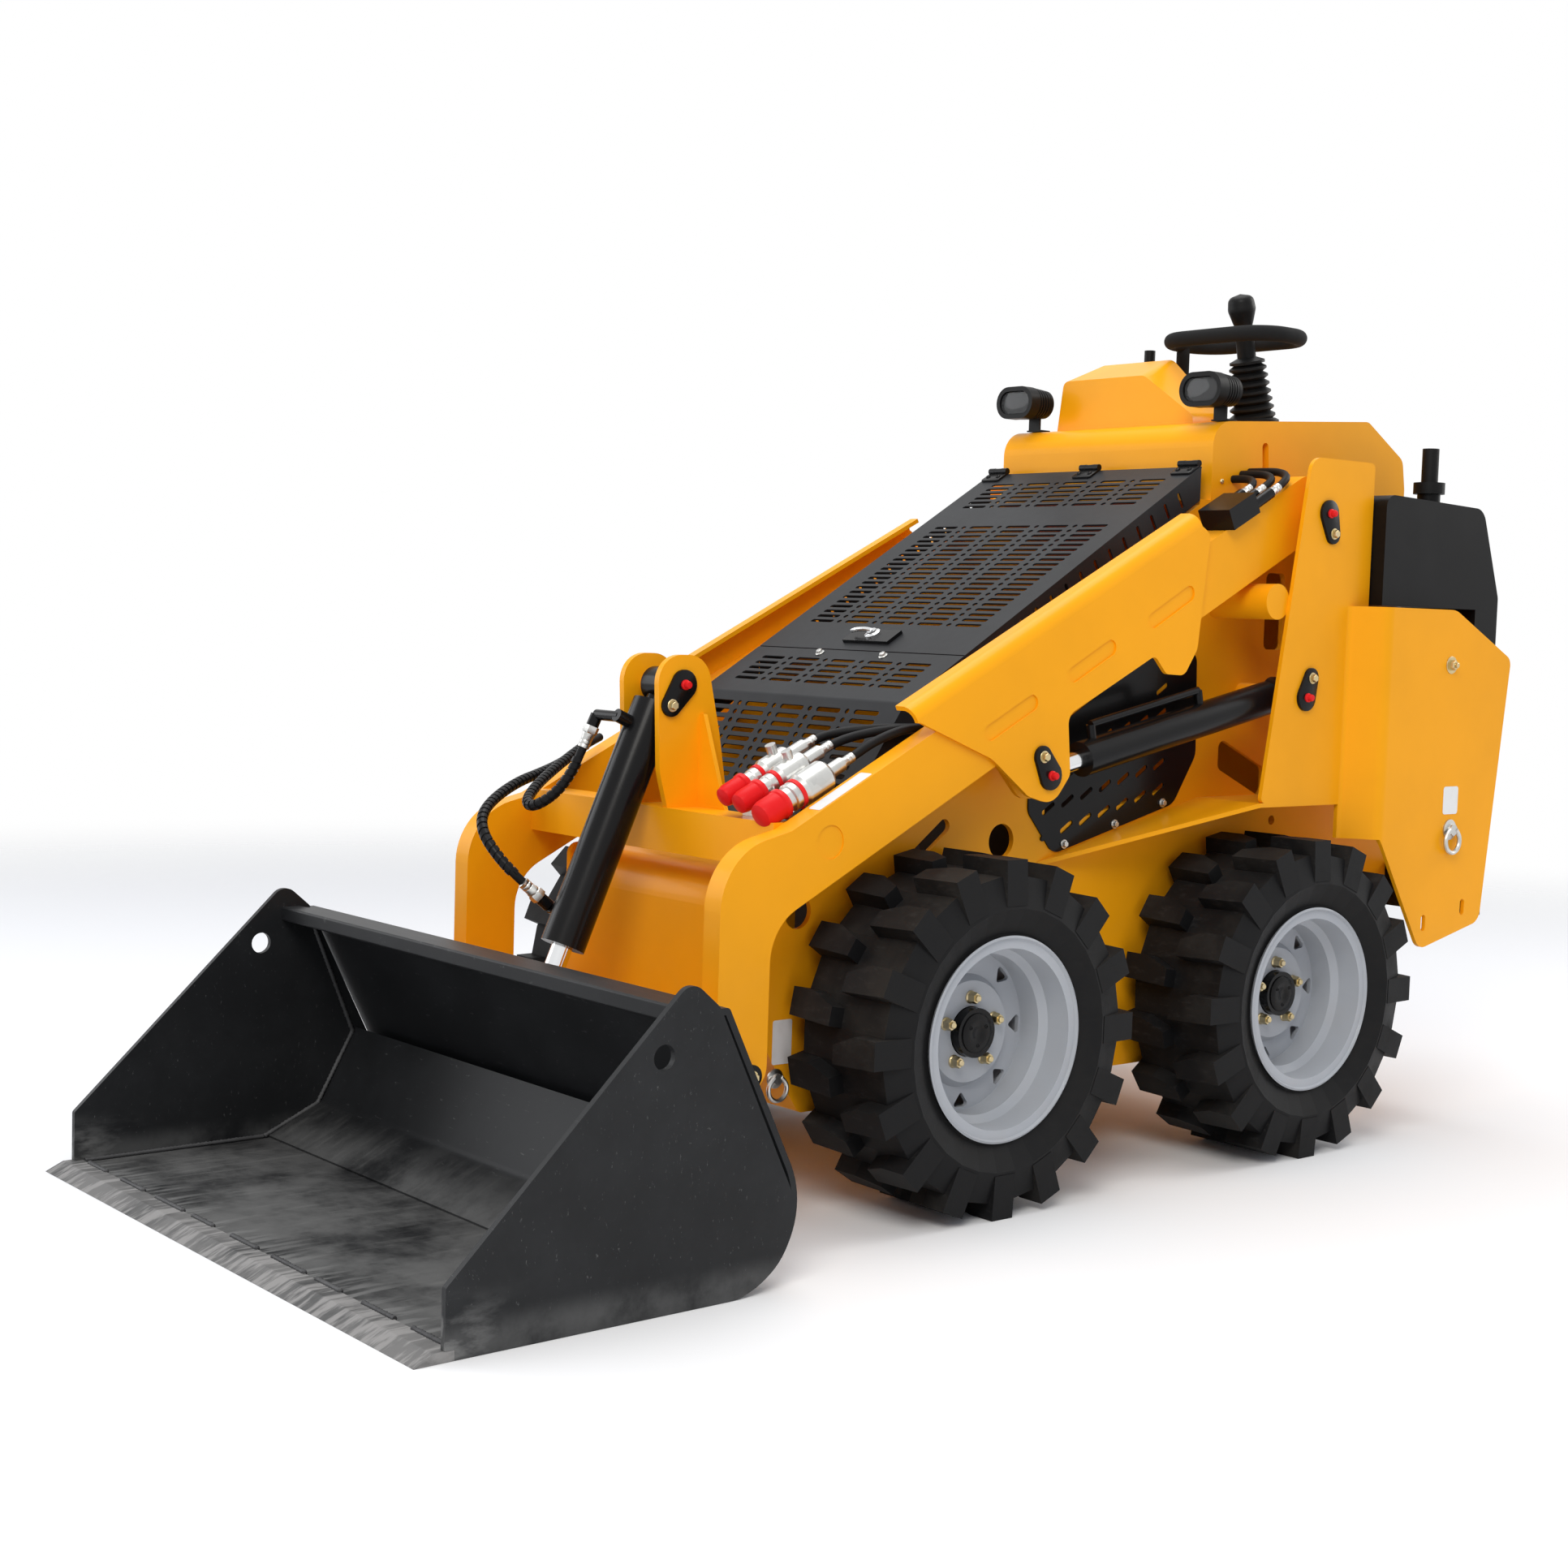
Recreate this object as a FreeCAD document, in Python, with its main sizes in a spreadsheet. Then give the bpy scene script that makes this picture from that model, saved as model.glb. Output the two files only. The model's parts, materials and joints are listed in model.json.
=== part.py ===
import FreeCAD, Part
import math
import os

# Compact skid steer loader on four wheels, in millimetres.
# X is across the machine (+X its left side), the front looks along -Y, +Z is up.
# Heights start at the floor. Lengths start at the front axle, and frame_shift moves the whole
# machine so that the middle of its length lies at the origin.

Vector = FreeCAD.Vector
doc = FreeCAD.newDocument("skid_steer_loader")
sheet = doc.addObject("Spreadsheet::Sheet", "Sizes")

SIZES = [
    ("lip_y", -1147), ("rear_y", 1392),
    ("wheelbase", 788), ("axle_z", 292), ("wheel_x", 396),
    ("tyre_radius", 292), ("tyre_half_width", 108), ("carcass_radius", 266), ("bead_radius", 152),
    ("lug_count", 16), ("tyre_side_count", 32),
    ("rim_flange_radius", 169), ("rim_half_width", 88.5), ("rim_wall", 4), ("rim_disc_x", 10),
    ("rim_disc_wall", 8), ("hub_radius", 68), ("hub_bore", 42), ("stud_circle", 70),
    ("motor_radius", 55),
    ("chassis_half", 272), ("side_wall", 10), ("belly_z", 160), ("pan_wall", 8),
    ("nose_y", -340), ("nose_z", 555), ("nose_roll", 60), ("tail_y", 1303), ("deck_base_z", 1200),
    ("deck_front_y", 706), ("deck_front_z", 1345), ("deck_rear_y", 1174), ("deck_rear_z", 1380),
    ("deck_roll", 50),
    ("tower_x", 412), ("tower_wall", 8), ("rear_panel_x", 472),
    ("lift_pivot_y", 864), ("lift_pivot_z", 1181), ("lift_pin_radius", 17.5),
    ("lift_base_y", 820), ("lift_base_z", 845), ("lift_lug_y", 185), ("lift_lug_z", 709),
    ("lift_cylinder_x", 360), ("lift_barrel_radius", 31), ("lift_bore_radius", 25),
    ("lift_rod_show", 104.5), ("lift_rod_radius", 17), ("lift_eye_radius", 27),
    ("lift_eye_width", 34), ("lift_port_pipe_radius", 7),
    ("cross_tube_y", 739), ("cross_tube_z", 1015), ("cross_tube_radius", 32.5),
    ("arm_inner_x", 338), ("arm_width", 40), ("arm_depth", 115), ("arm_slope", 27),
    ("arm_low_y", 63), ("arm_low_z", 723), ("arm_front_y", -503), ("arm_heel_y", -404),
    ("bucket_pivot_y", -478), ("bucket_pivot_z", 258), ("bucket_pin_radius", 12.5),
    ("guard_wall", 8), ("guard_flange", 42),
    ("cross_beam_y", -336), ("cross_beam_z", 605), ("cross_beam_side", 72),
    ("ear_gap_half", 43), ("ear_wall", 12), ("tilt_pin_y", -343), ("tilt_pin_z", 841),
    ("tilt_rod_pin_y", -560), ("tilt_rod_pin_z", 346), ("tilt_barrel_radius", 37),
    ("tilt_bore_radius", 30), ("tilt_barrel_start", 36), ("tilt_gland_end", 465),
    ("tilt_rod_radius", 17.5), ("tilt_eye_radius", 24), ("tilt_eye_width", 40),
    ("bucket_width", 1200), ("bucket_wall", 10), ("bucket_side_wall", 10),
    ("bucket_heel_radius", 135), ("bucket_edge_depth", 100), ("bucket_edge_wall", 14),
    ("attach_half_width", 395), ("attach_wall", 12), ("attach_gap", 12),
    ("hood_half", 275.3), ("hood_wall", 3), ("hood_skirt", 62), ("slot_pitch", 18.1), ("slot_half_length", 31),
    ("slot_half_width", 4.8), ("slot_column", 97.5), ("grille_hole", 5.2), ("hood_hinge_y", 678),
    ("hood_hinge_z", 1263), ("hood_seam_y", 85), ("hood_seam_z", 904),
    ("engine_width", 330), ("engine_length", 460), ("engine_height", 480), ("engine_y", 330),
    ("engine_foot", 60),
    ("tank_inner_x", 272.3), ("tank_outer_x", 448), ("tank_top_z", 1225),
    ("lamp_x", 241), ("lamp_y", 722), ("lamp_z", 1405), ("lamp_half_width", 50), ("lamp_half_height", 32),
    ("stick_x", 150), ("stick_y", 970), ("stick_top_z", 1611), ("bellows_radius", 44),
    ("loop_z", 1528), ("loop_tube", 15), ("hose_radius", 7.5),
    ("running_gap", 0.1), ("seat_gap", 0.3),
]
for row, (alias, amount) in enumerate(SIZES, start=1):
    sheet.set("A%d" % row, alias)
    sheet.set("B%d" % row, str(amount))
    sheet.setAlias("B%d" % row, alias)
doc.recompute()
S = {alias: float(sheet.get(alias)) for alias, _ in SIZES}
FRAME_SHIFT = "-(Sizes.lip_y + Sizes.rear_y) / 2"
ALONG_X = FreeCAD.Rotation(Vector(0, 1, 0), 90)
nodes = []

# Routes of the hoses, as (x, y, z) from the end of one fitting to the next.
COUPLER_HOSES = [
    [(312, -215, 728), (312, -190, 740.2), (318, -155, 762), (326, -112, 780), (329, -68, 787), (329, -30, 787)],
    [(262, -219, 744), (262, -192, 757.2), (272, -150, 771), (296, -108, 781), (310, -66, 785), (310, -30, 785)],
    [(222, -219, 751), (222, -192, 764.2), (236, -152, 775), (272, -110, 782), (291, -66, 784), (291, -30, 784)],
]
ROOT_HOSES = [
    [(387, 734, 1212), (387, 766, 1229), (376, 796, 1246), (346, 812, 1256), (308, 814, 1258), (272.3, 814, 1258)],
    [(362, 722, 1210), (362, 758, 1229), (352, 782, 1242), (330, 790, 1250), (302, 791, 1252),
     (272.3, 791, 1252)],
    [(338, 714, 1210), (338, 738, 1223), (330, 756, 1234), (314, 765, 1240), (294, 767, 1242),
     (272.3, 767, 1242)],
]
TILT_HOSE_UPPER = [(-72, -438, 756), (-78, -450, 722), (-86, -464, 686), (-100, -486, 652), (-130, -507, 630),
                   (-165, -500, 636), (-205, -452, 660), (-250, -385, 684), (-290, -320, 706), (-318, -270, 722),
                   (-337.7, -230, 732)]
TILT_HOSE_LOWER = [(-70, -541, 496), (-80, -569, 522), (-105, -590, 554), (-135, -600, 588), (-165, -586, 616),
                   (-200, -540, 640), (-235, -470, 664), (-270, -398, 676), (-306, -330, 690), (-337.7, -280, 704)]


def corner_points(before, corner, after, radius):
    """Start, middle and end of the arc that rounds one corner of an outline."""
    back = (before - corner).normalize()
    ahead = (after - corner).normalize()
    half = math.acos(max(-1.0, min(1.0, back.dot(ahead)))) / 2
    reach = radius / math.tan(half)
    bisector = (back + ahead).normalize()
    middle = corner + bisector * (radius / math.sin(half) - radius)
    return corner + back * reach, middle, corner + ahead * reach


def outline(corners):
    """Closed run of lines and tangent arcs through corners given as (a, b, radius)."""
    points = [Vector(a, b, 0) for a, b, _ in corners]
    count = len(points)
    starts, ends, pieces = [], [], []
    for i, (_, _, radius) in enumerate(corners):
        if radius:
            start, middle, end = corner_points(points[i - 1], points[i], points[(i + 1) % count], radius)
            pieces.append(Part.Arc(start, middle, end))
        else:
            start = end = points[i]
        starts.append(start)
        ends.append(end)
    for i in range(count):
        following = starts[(i + 1) % count]
        if ends[i].distanceToPoint(following) > 1e-6:
            pieces.append(Part.LineSegment(ends[i], following))
    return pieces


def slot(a1, b1, a2, b2, half_width):
    """Round-ended slot between two centres."""
    along = Vector(a2 - a1, b2 - b1, 0).normalize()
    side = Vector(-along.y, along.x, 0) * half_width
    first, last = Vector(a1, b1, 0), Vector(a2, b2, 0)
    return [Part.LineSegment(first + side, last + side),
            Part.Arc(last + side, last + along * half_width, last - side),
            Part.LineSegment(last - side, first - side),
            Part.Arc(first - side, first - along * half_width, first + side)]


def hole(a, b, radius):
    return [Part.Circle(Vector(a, b, 0), Vector(0, 0, 1), radius)]


def bent_sheet(path, wall):
    """Outline of a sheet of one thickness that follows a path of (a, b, radius), wall on its left."""
    points = [Vector(a, b, 0) for a, b, _ in path]
    ways = [(points[i + 1] - points[i]).normalize() for i in range(len(points) - 1)]
    sides = [Vector(-way.y, way.x, 0) for way in ways]
    offset = [(points[0] + sides[0] * wall, 0.0)]
    for i in range(1, len(points) - 1):
        mitre = (sides[i - 1] + sides[i]).normalize()
        turn = ways[i - 1].x * ways[i].y - ways[i - 1].y * ways[i].x
        radius = path[i][2]
        if radius:
            radius = max(radius - wall, 0.0) if turn > 0 else radius + wall
        offset.append((points[i] + mitre * (wall / mitre.dot(sides[i])), radius))
    offset.append((points[-1] + sides[-1] * wall, 0.0))
    return list(path) + [(point.x, point.y, radius) for point, radius in reversed(offset)]


def sketch(body, role, loops, start="0"):
    """Sketch on one of the body's own planes, moved along the plane's normal by start."""
    profile = body.newObject("Sketcher::SketchObject", body.Name + "_profile")
    plane = [feature for feature in body.Origin.OriginFeatures if feature.Role == role][0]
    profile.AttachmentSupport = [(plane, "")]
    profile.MapMode = "FlatFace"
    profile.setExpression("AttachmentOffset.Base.z", start)
    for loop in loops:
        profile.addGeometry(loop, False)
    return profile


def plate(name, role, loops, start, thick):
    """Flat piece padded along the normal of one of its body's planes."""
    body = doc.addObject("PartDesign::Body", name)
    pad = body.newObject("PartDesign::Pad", name + "_pad")
    pad.Profile = sketch(body, role, loops, start)
    pad.setExpression("Length", thick)
    return body


def turned(name, role, loops, axis, angle=360):
    """Solid of revolution about the sketch's own H_Axis or V_Axis."""
    body = doc.addObject("PartDesign::Body", name)
    feature = body.newObject("PartDesign::Revolution", name + "_turn")
    feature.Profile = sketch(body, role, loops)
    feature.ReferenceAxis = (feature.Profile[0], [axis])
    feature.Angle = angle
    return body


def cylinder(name, radius, length, x, y, z, rotation=None):
    """Round bar from the point x, y, z, along X unless another rotation is given."""
    bar = doc.addObject("Part::Cylinder", name)
    bar.setExpression("Radius", radius)
    bar.setExpression("Height", length)
    bar.Placement = FreeCAD.Placement(Vector(0, 0, 0), ALONG_X if rotation is None else rotation)
    for axis, place in (("x", x), ("y", y), ("z", z)):
        bar.setExpression("Placement.Base." + axis, place)
    return bar


def block(name, length, width, height, x, y, z):
    """Box whose lowest corner is at x, y, z."""
    box = doc.addObject("Part::Box", name)
    for side, amount in (("Length", length), ("Width", width), ("Height", height)):
        box.setExpression(side, amount)
    for axis, place in (("x", x), ("y", y), ("z", z)):
        box.setExpression("Placement.Base." + axis, place)
    return box


def fuse(name, pieces):
    joined = doc.addObject("Part::MultiFuse", name)
    joined.Shapes = pieces
    return joined


def cut(name, base, tool):
    trimmed = doc.addObject("Part::Cut", name)
    trimmed.Base = base
    trimmed.Tool = tool
    return trimmed


def common(name, first, second):
    shared = doc.addObject("Part::MultiCommon", name)
    shared.Shapes = [first, second]
    return shared


def mirrored(name, source):
    twin = doc.addObject("Part::Mirroring", name)
    twin.Source = source
    twin.Normal = Vector(1, 0, 0)
    return twin


def gathered(name, pieces):
    group = doc.addObject("Part::Compound", name)
    group.Links = pieces
    return group


def rod_between(name, radius, first, last):
    """Round bar from one point to another, both vectors."""
    bar = doc.addObject("Part::Cylinder", name)
    bar.Radius = radius
    bar.Height = (last - first).Length
    bar.Placement = FreeCAD.Placement(first, FreeCAD.Rotation(Vector(0, 0, 1), last - first))
    return bar


def hose(name, route):
    """Tube of straight runs and tangent arcs along a route of (x, y, z); prints its length and radii."""
    points = [Vector(*place) for place in route]
    runs = [(points[i + 1] - points[i]).Length for i in range(len(points) - 1)]
    edges, radii, reached = [], [], points[0]
    for i in range(1, len(points) - 1):
        before, after = points[i - 1] - points[i], points[i + 1] - points[i]
        half_turn = (math.pi - before.getAngle(after)) / 2
        radius = 0.45 * min(runs[i - 1], runs[i]) / math.tan(half_turn)
        start, middle, end = corner_points(points[i - 1], points[i], points[i + 1], radius)
        edges += [Part.LineSegment(reached, start).toShape(), Part.Arc(start, middle, end).toShape()]
        reached = end
        radii.append(round(radius))
    edges.append(Part.LineSegment(reached, points[-1]).toShape())
    path = doc.addObject("Part::Feature", name + "_path")
    path.Shape = Part.Wire(edges)
    ring = doc.addObject("Part::Circle", name + "_ring")
    ring.setExpression("Radius", "Sizes.hose_radius")
    ring.Placement = FreeCAD.Placement(points[0], FreeCAD.Rotation(Vector(0, 0, 1), points[1] - points[0]))
    tube = doc.addObject("Part::Sweep", name)
    tube.Sections = [ring]
    tube.Spine = (path, ["Edge%d" % (i + 1) for i in range(len(edges))])
    tube.Solid = True
    doc.recompute()
    share = tube.Shape.Volume / (math.pi * S["hose_radius"] ** 2 * path.Shape.Length)
    print("%s: length %.0f, radii %s, volume against section times length %.3f"
          % (name, path.Shape.Length, radii, share))
    return node(name, tube)


def node(label, piece, moved=True):
    """Names a finished sub-part and sets it in the shared frame."""
    piece.Label = label
    if moved:
        piece.setExpression("Placement.Base.y", FRAME_SHIFT)
    nodes.append(piece)
    return piece


def arm_point(along, above):
    """Point in the arm's own line: distance along its lower edge, height above it."""
    slope = math.radians(S["arm_slope"])
    return (S["arm_low_y"] + along * math.cos(slope) - above * math.sin(slope),
            S["arm_low_z"] + along * math.sin(slope) + above * math.cos(slope))


def deck_height(y):
    """Height of the console's sloping deck at y."""
    rise = (S["deck_rear_z"] - S["deck_front_z"]) / (S["deck_rear_y"] - S["deck_front_y"])
    return S["deck_front_z"] + (y - S["deck_front_y"]) * rise


def hood_line(y, drop=0.0):
    """Height of the hood's main slope at y, less a drop."""
    rise = (S["hood_hinge_z"] - S["hood_seam_z"]) / (S["hood_hinge_y"] - S["hood_seam_y"])
    return S["hood_seam_z"] + (y - S["hood_seam_y"]) * rise - drop


def axis_rotation(from_y, from_z, to_y, to_z):
    """Rotation that lays local +Z along the line from one pin to another in the side view."""
    return FreeCAD.Rotation(Vector(1, 0, 0), math.degrees(math.atan2(-(to_y - from_y), to_z - from_z)))


def ring_of_sides(radius):
    """Closed run of straight sides about the axle, one for each side of the tyre's outline."""
    count = int(S["tyre_side_count"])
    angles = [2 * math.pi * (i + 0.5) / count for i in range(count)]
    corners = [(radius * math.cos(angle), radius * math.sin(angle), 0) for angle in angles]
    return outline(corners)


def make_tyre():
    """Bias tyre: carcass of flat strips and two rows of stepped lugs that reach down its shoulders."""
    body = doc.addObject("PartDesign::Body", "tyre")
    half = S["tyre_half_width"]
    bead, carcass, crown = S["bead_radius"], S["carcass_radius"], S["tyre_radius"]
    foot = S["rim_half_width"] - S["seat_gap"]
    # Columns: place across the tyre, radius there.
    stations = [(-foot, bead + 20), (-half, bead + 62), (-0.88 * half, carcass),
                (0.88 * half, carcass), (half, bead + 62), (foot, bead + 20)]
    carcass_loft = body.newObject("PartDesign::AdditiveLoft", "carcass")
    rings = [sketch(body, "YZ_Plane", [ring_of_sides(radius)], str(place)) for place, radius in stations]
    carcass_loft.Profile = rings[0]
    carcass_loft.Sections = rings[1:]
    carcass_loft.Ruled = True
    doc.recompute()
    axle = [feature for feature in body.Origin.OriginFeatures if feature.Role == "X_Axis"][0]
    lug_count = int(S["lug_count"])
    step = 2 * math.pi * carcass / lug_count
    for side in (1, -1):
        # The second row stands half a pitch behind the first.
        turn = 0 if side > 0 else 180 / lug_count
        # Columns: share of the half width, share of the lug pitch; toe near the middle, heel on the shoulder.
        tread = [(0.06, -0.24), (0.06, 0.06), (0.50, 0.24), (0.96, 0.24), (0.96, -0.20)]
        lug = body.newObject("PartDesign::AdditiveLoft", "lug")
        faces = []
        for height, flare in ((0.82 * carcass, 4), (crown, 0)):
            corners = [(side * (half * share + (flare if share > 0.9 else 0)),
                        step * place, 0) for share, place in tread]
            face = sketch(body, "XY_Plane", [outline(corners)], str(height * math.cos(math.radians(turn))))
            face.AttachmentOffset = FreeCAD.Placement(
                Vector(0, -height * math.sin(math.radians(turn)), height * math.cos(math.radians(turn))),
                FreeCAD.Rotation(Vector(1, 0, 0), turn))
            faces.append(face)
        lug.Profile = faces[0]
        lug.Sections = faces[1:]
        lug.Ruled = True
        doc.recompute()
        ring = body.newObject("PartDesign::PolarPattern", "lug_ring")
        ring.Originals = [lug]
        ring.Axis = (axle, [""])
        ring.Angle = 360
        ring.Occurrences = lug_count
        body.Tip = ring
        doc.recompute()
    bore = body.newObject("PartDesign::Pocket", "bead_bore")
    flats = bead / math.cos(math.pi / S["tyre_side_count"])
    bore.Profile = sketch(body, "YZ_Plane", [ring_of_sides(flats)])
    bore.Type = 1
    bore.Midplane = True
    body.Tip = bore
    return body


def make_rim():
    """Three-step barrel and pressed disc with eight triangular windows, hub seat and studs."""
    body = doc.addObject("PartDesign::Body", "rim")
    half, flange, wall = S["rim_half_width"], S["rim_flange_radius"], S["rim_wall"]
    bead = S["bead_radius"] - S["seat_gap"]
    disc_x, disc_wall = S["rim_disc_x"], S["rim_disc_wall"]
    path = [(-half - 7, flange, 0), (-half, flange - 4, 0), (-half, bead, 0), (-half + 26, bead - 3, 0),
            (-half + 36, bead - 15, 0), (half - 52, bead - 15, 0), (half - 42, bead - 3, 0),
            (half, bead, 0), (half, flange - 4, 0), (half + 7, flange, 0)]
    loop = bent_sheet(path, -wall)
    inner = loop[len(path):]
    face_x, inner_radius = disc_x - 14, bead - 15 - wall
    disc = bent_sheet([(face_x, inner_radius, 0), (face_x, 94, 0), (disc_x, 84, 0), (disc_x, S["hub_bore"], 0)],
                      -disc_wall)
    section = (loop[:len(path)] + [corner for corner in inner if corner[0] > face_x] + disc
               + [corner for corner in inner if corner[0] <= face_x])
    turn = body.newObject("PartDesign::Revolution", "barrel_and_disc")
    turn.Profile = sketch(body, "XY_Plane", [outline(section)])
    turn.ReferenceAxis = (turn.Profile[0], ["H_Axis"])
    body.Tip = turn
    doc.recompute()
    window = body.newObject("PartDesign::Pocket", "window")
    window.Profile = sketch(body, "YZ_Plane", [outline([(-20, 128, 5), (20, 128, 5), (0, 102, 4)])])
    window.Type = 1
    window.Midplane = True
    doc.recompute()
    ring = body.newObject("PartDesign::PolarPattern", "window_ring")
    ring.Originals = [window]
    ring.Axis = ([o for o in body.Origin.OriginFeatures if o.Role == "X_Axis"][0], [""])
    ring.Angle = 360
    ring.Occurrences = 8
    body.Tip = ring
    return body


def make_wheels():
    """One tyre and one rim at the left front, repeated at the other three corners."""
    doc_tyre, doc_rim = make_tyre(), make_rim()
    corners = [("front_left", 1, "0"), ("front_right", -1, "0"),
               ("rear_left", 1, "Sizes.wheelbase"), ("rear_right", -1, "Sizes.wheelbase")]
    for corner, side, back in corners:
        for kind, source in (("tyre", doc_tyre), ("rim", doc_rim)):
            base = source if side > 0 else mirrored("%s_%s_mirror" % (kind, corner), source)
            wheel = gathered("%s_%s" % (kind, corner), [base])
            wheel.setExpression("Placement.Base.x", "Sizes.wheel_x * %d" % side)
            wheel.setExpression("Placement.Base.y", "%s + %s" % (FRAME_SHIFT, back))
            wheel.setExpression("Placement.Base.z", "Sizes.axle_z")
            node("%s_%s" % (kind, corner), wheel, moved=False)
    motors = []
    for side in (1, -1):
        for corner, back in (("front", "0"), ("rear", "Sizes.wheelbase")):
            start = "Sizes.chassis_half" if side > 0 else "-Sizes.wheel_x - Sizes.rim_disc_x - 18"
            reach = "Sizes.wheel_x + Sizes.rim_disc_x + 18 - Sizes.chassis_half"
            motors.append(cylinder("hub_%s_%d" % (corner, side), "Sizes.hub_bore - 1", reach,
                                   start, back, "Sizes.axle_z"))
            body_start = "Sizes.chassis_half" if side > 0 else "-Sizes.chassis_half - 88"
            motors.append(cylinder("motor_%s_%d" % (corner, side), "Sizes.motor_radius", "88",
                                   body_start, back, "Sizes.axle_z"))
    node("hub_motors", fuse("hub_motor_set", motors))


def side_outline():
    """Outline of the chassis side: belly, chamfered nose, line under the hood, deck base and tail."""
    nose, tail, belly = S["nose_y"], S["tail_y"], S["belly_z"]
    return [(nose + 92, belly, 15), (nose, 300, 40), (nose, S["nose_z"] - 5, 20), (-190, 560, 20),
            (-60, hood_line(-60, 115), 30), (S["hood_seam_y"], hood_line(S["hood_seam_y"], 62), 40),
            (S["deck_front_y"] - 30, hood_line(S["deck_front_y"] - 30, 72), 0),
            (S["deck_front_y"] - 30, S["deck_base_z"], 0), (tail, S["deck_base_z"], 0), (tail, 360, 30),
            (tail - 200, belly, 40)]


def make_chassis():
    """Side plates, nose and belly sheet, tail sheet, counterweight and engine."""
    windows = [hole(-262, 488, 27.5), slot(-10, 566, 55, 615, 12.5), hole(192, 585, 30), hole(928, 597, 9),
               outline([(879, 926, 12), (935, 926, 12), (935, 1072, 12), (879, 1072, 12)]),
               outline([(760, 700, 14), (896, 640, 14), (896, 700, 14), (760, 760, 14)]),
               outline([(300, 600, 30), (640, 670, 30), (660, 880, 30), (290, 690, 30)])]
    side = plate("side_plate", "YZ_Plane", [outline(side_outline())] + windows,
                 "Sizes.chassis_half - Sizes.side_wall", "Sizes.side_wall")
    node("side_plate_left", side)
    node("side_plate_right", mirrored("side_plate_mirror", side), moved=False)

    inner_half = S["chassis_half"] - S["side_wall"]
    nose, belly, tail = S["nose_y"], S["belly_z"], S["tail_y"]
    path = [(-190, S["nose_z"] - 9, 0), (nose, S["nose_z"] - 9, S["nose_roll"]), (nose, 300, 40),
            (nose + 92, belly, 15), (tail - 200, belly, 40), (tail, 360, 0)]
    pan = plate("nose_and_belly", "YZ_Plane", [outline(bent_sheet(path, S["pan_wall"]))],
                "Sizes.side_wall - Sizes.chassis_half", "2 * (Sizes.chassis_half - Sizes.side_wall)")
    node("nose_and_belly", pan)

    wall = plate("tail_sheet", "YZ_Plane",
                 [outline([(tail - 6, 372, 0), (tail, 372, 0), (tail, S["deck_base_z"], 0),
                           (tail - 6, S["deck_base_z"], 0)])],
                 "Sizes.side_wall - Sizes.chassis_half", "2 * (Sizes.chassis_half - Sizes.side_wall)")
    node("tail_sheet", wall)

    weight = block("counterweight_block", "2 * Sizes.rear_panel_x", "40", "90", "-Sizes.rear_panel_x",
                   "Sizes.tail_y", "412")
    node("counterweight", weight, moved=False)
    weight.setExpression("Placement.Base.y", "Sizes.tail_y + %s" % FRAME_SHIFT)

    top = "Sizes.belly_z + Sizes.pan_wall"
    feet = [block("engine_foot_%d" % i, "50", "60", "Sizes.engine_foot", "%s * Sizes.engine_width / 2 - 25" % x,
                  "Sizes.engine_y %s" % y, top)
            for i, (x, y) in enumerate([(0.8, "- 180"), (-0.8, "- 180"), (0.8, "+ 120"), (-0.8, "+ 120")])]
    engine = block("engine_body", "Sizes.engine_width", "Sizes.engine_length", "Sizes.engine_height",
                   "-Sizes.engine_width / 2", "Sizes.engine_y - Sizes.engine_length / 2",
                   top + " + Sizes.engine_foot")
    node("engine_block", fuse("engine", feet + [engine]))
    guard_face = outline([(253, 633, 25), (319, 557, 30), (634, 637, 40), (692, 727, 40), (684, 905, 20),
                          (640, 960, 10), (253, 745, 10)])
    vents = []
    for column in range(7):
        y = 300 + 48 * column
        low, high = 587 + (y - 319) * 0.254, 711 + (y - 253) * 0.555
        for row in range(int((high - low) / 46)):
            z = low + 8 + 46 * row
            vents.append(slot(y - 8, z - 5, y + 14, z + 9, 4.5))
    guard = plate("side_guard", "YZ_Plane", [guard_face] + vents, "Sizes.chassis_half", "3")
    node("side_guards", gathered("side_guard_pair", [guard, mirrored("side_guard_mirror", guard)]))


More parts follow.
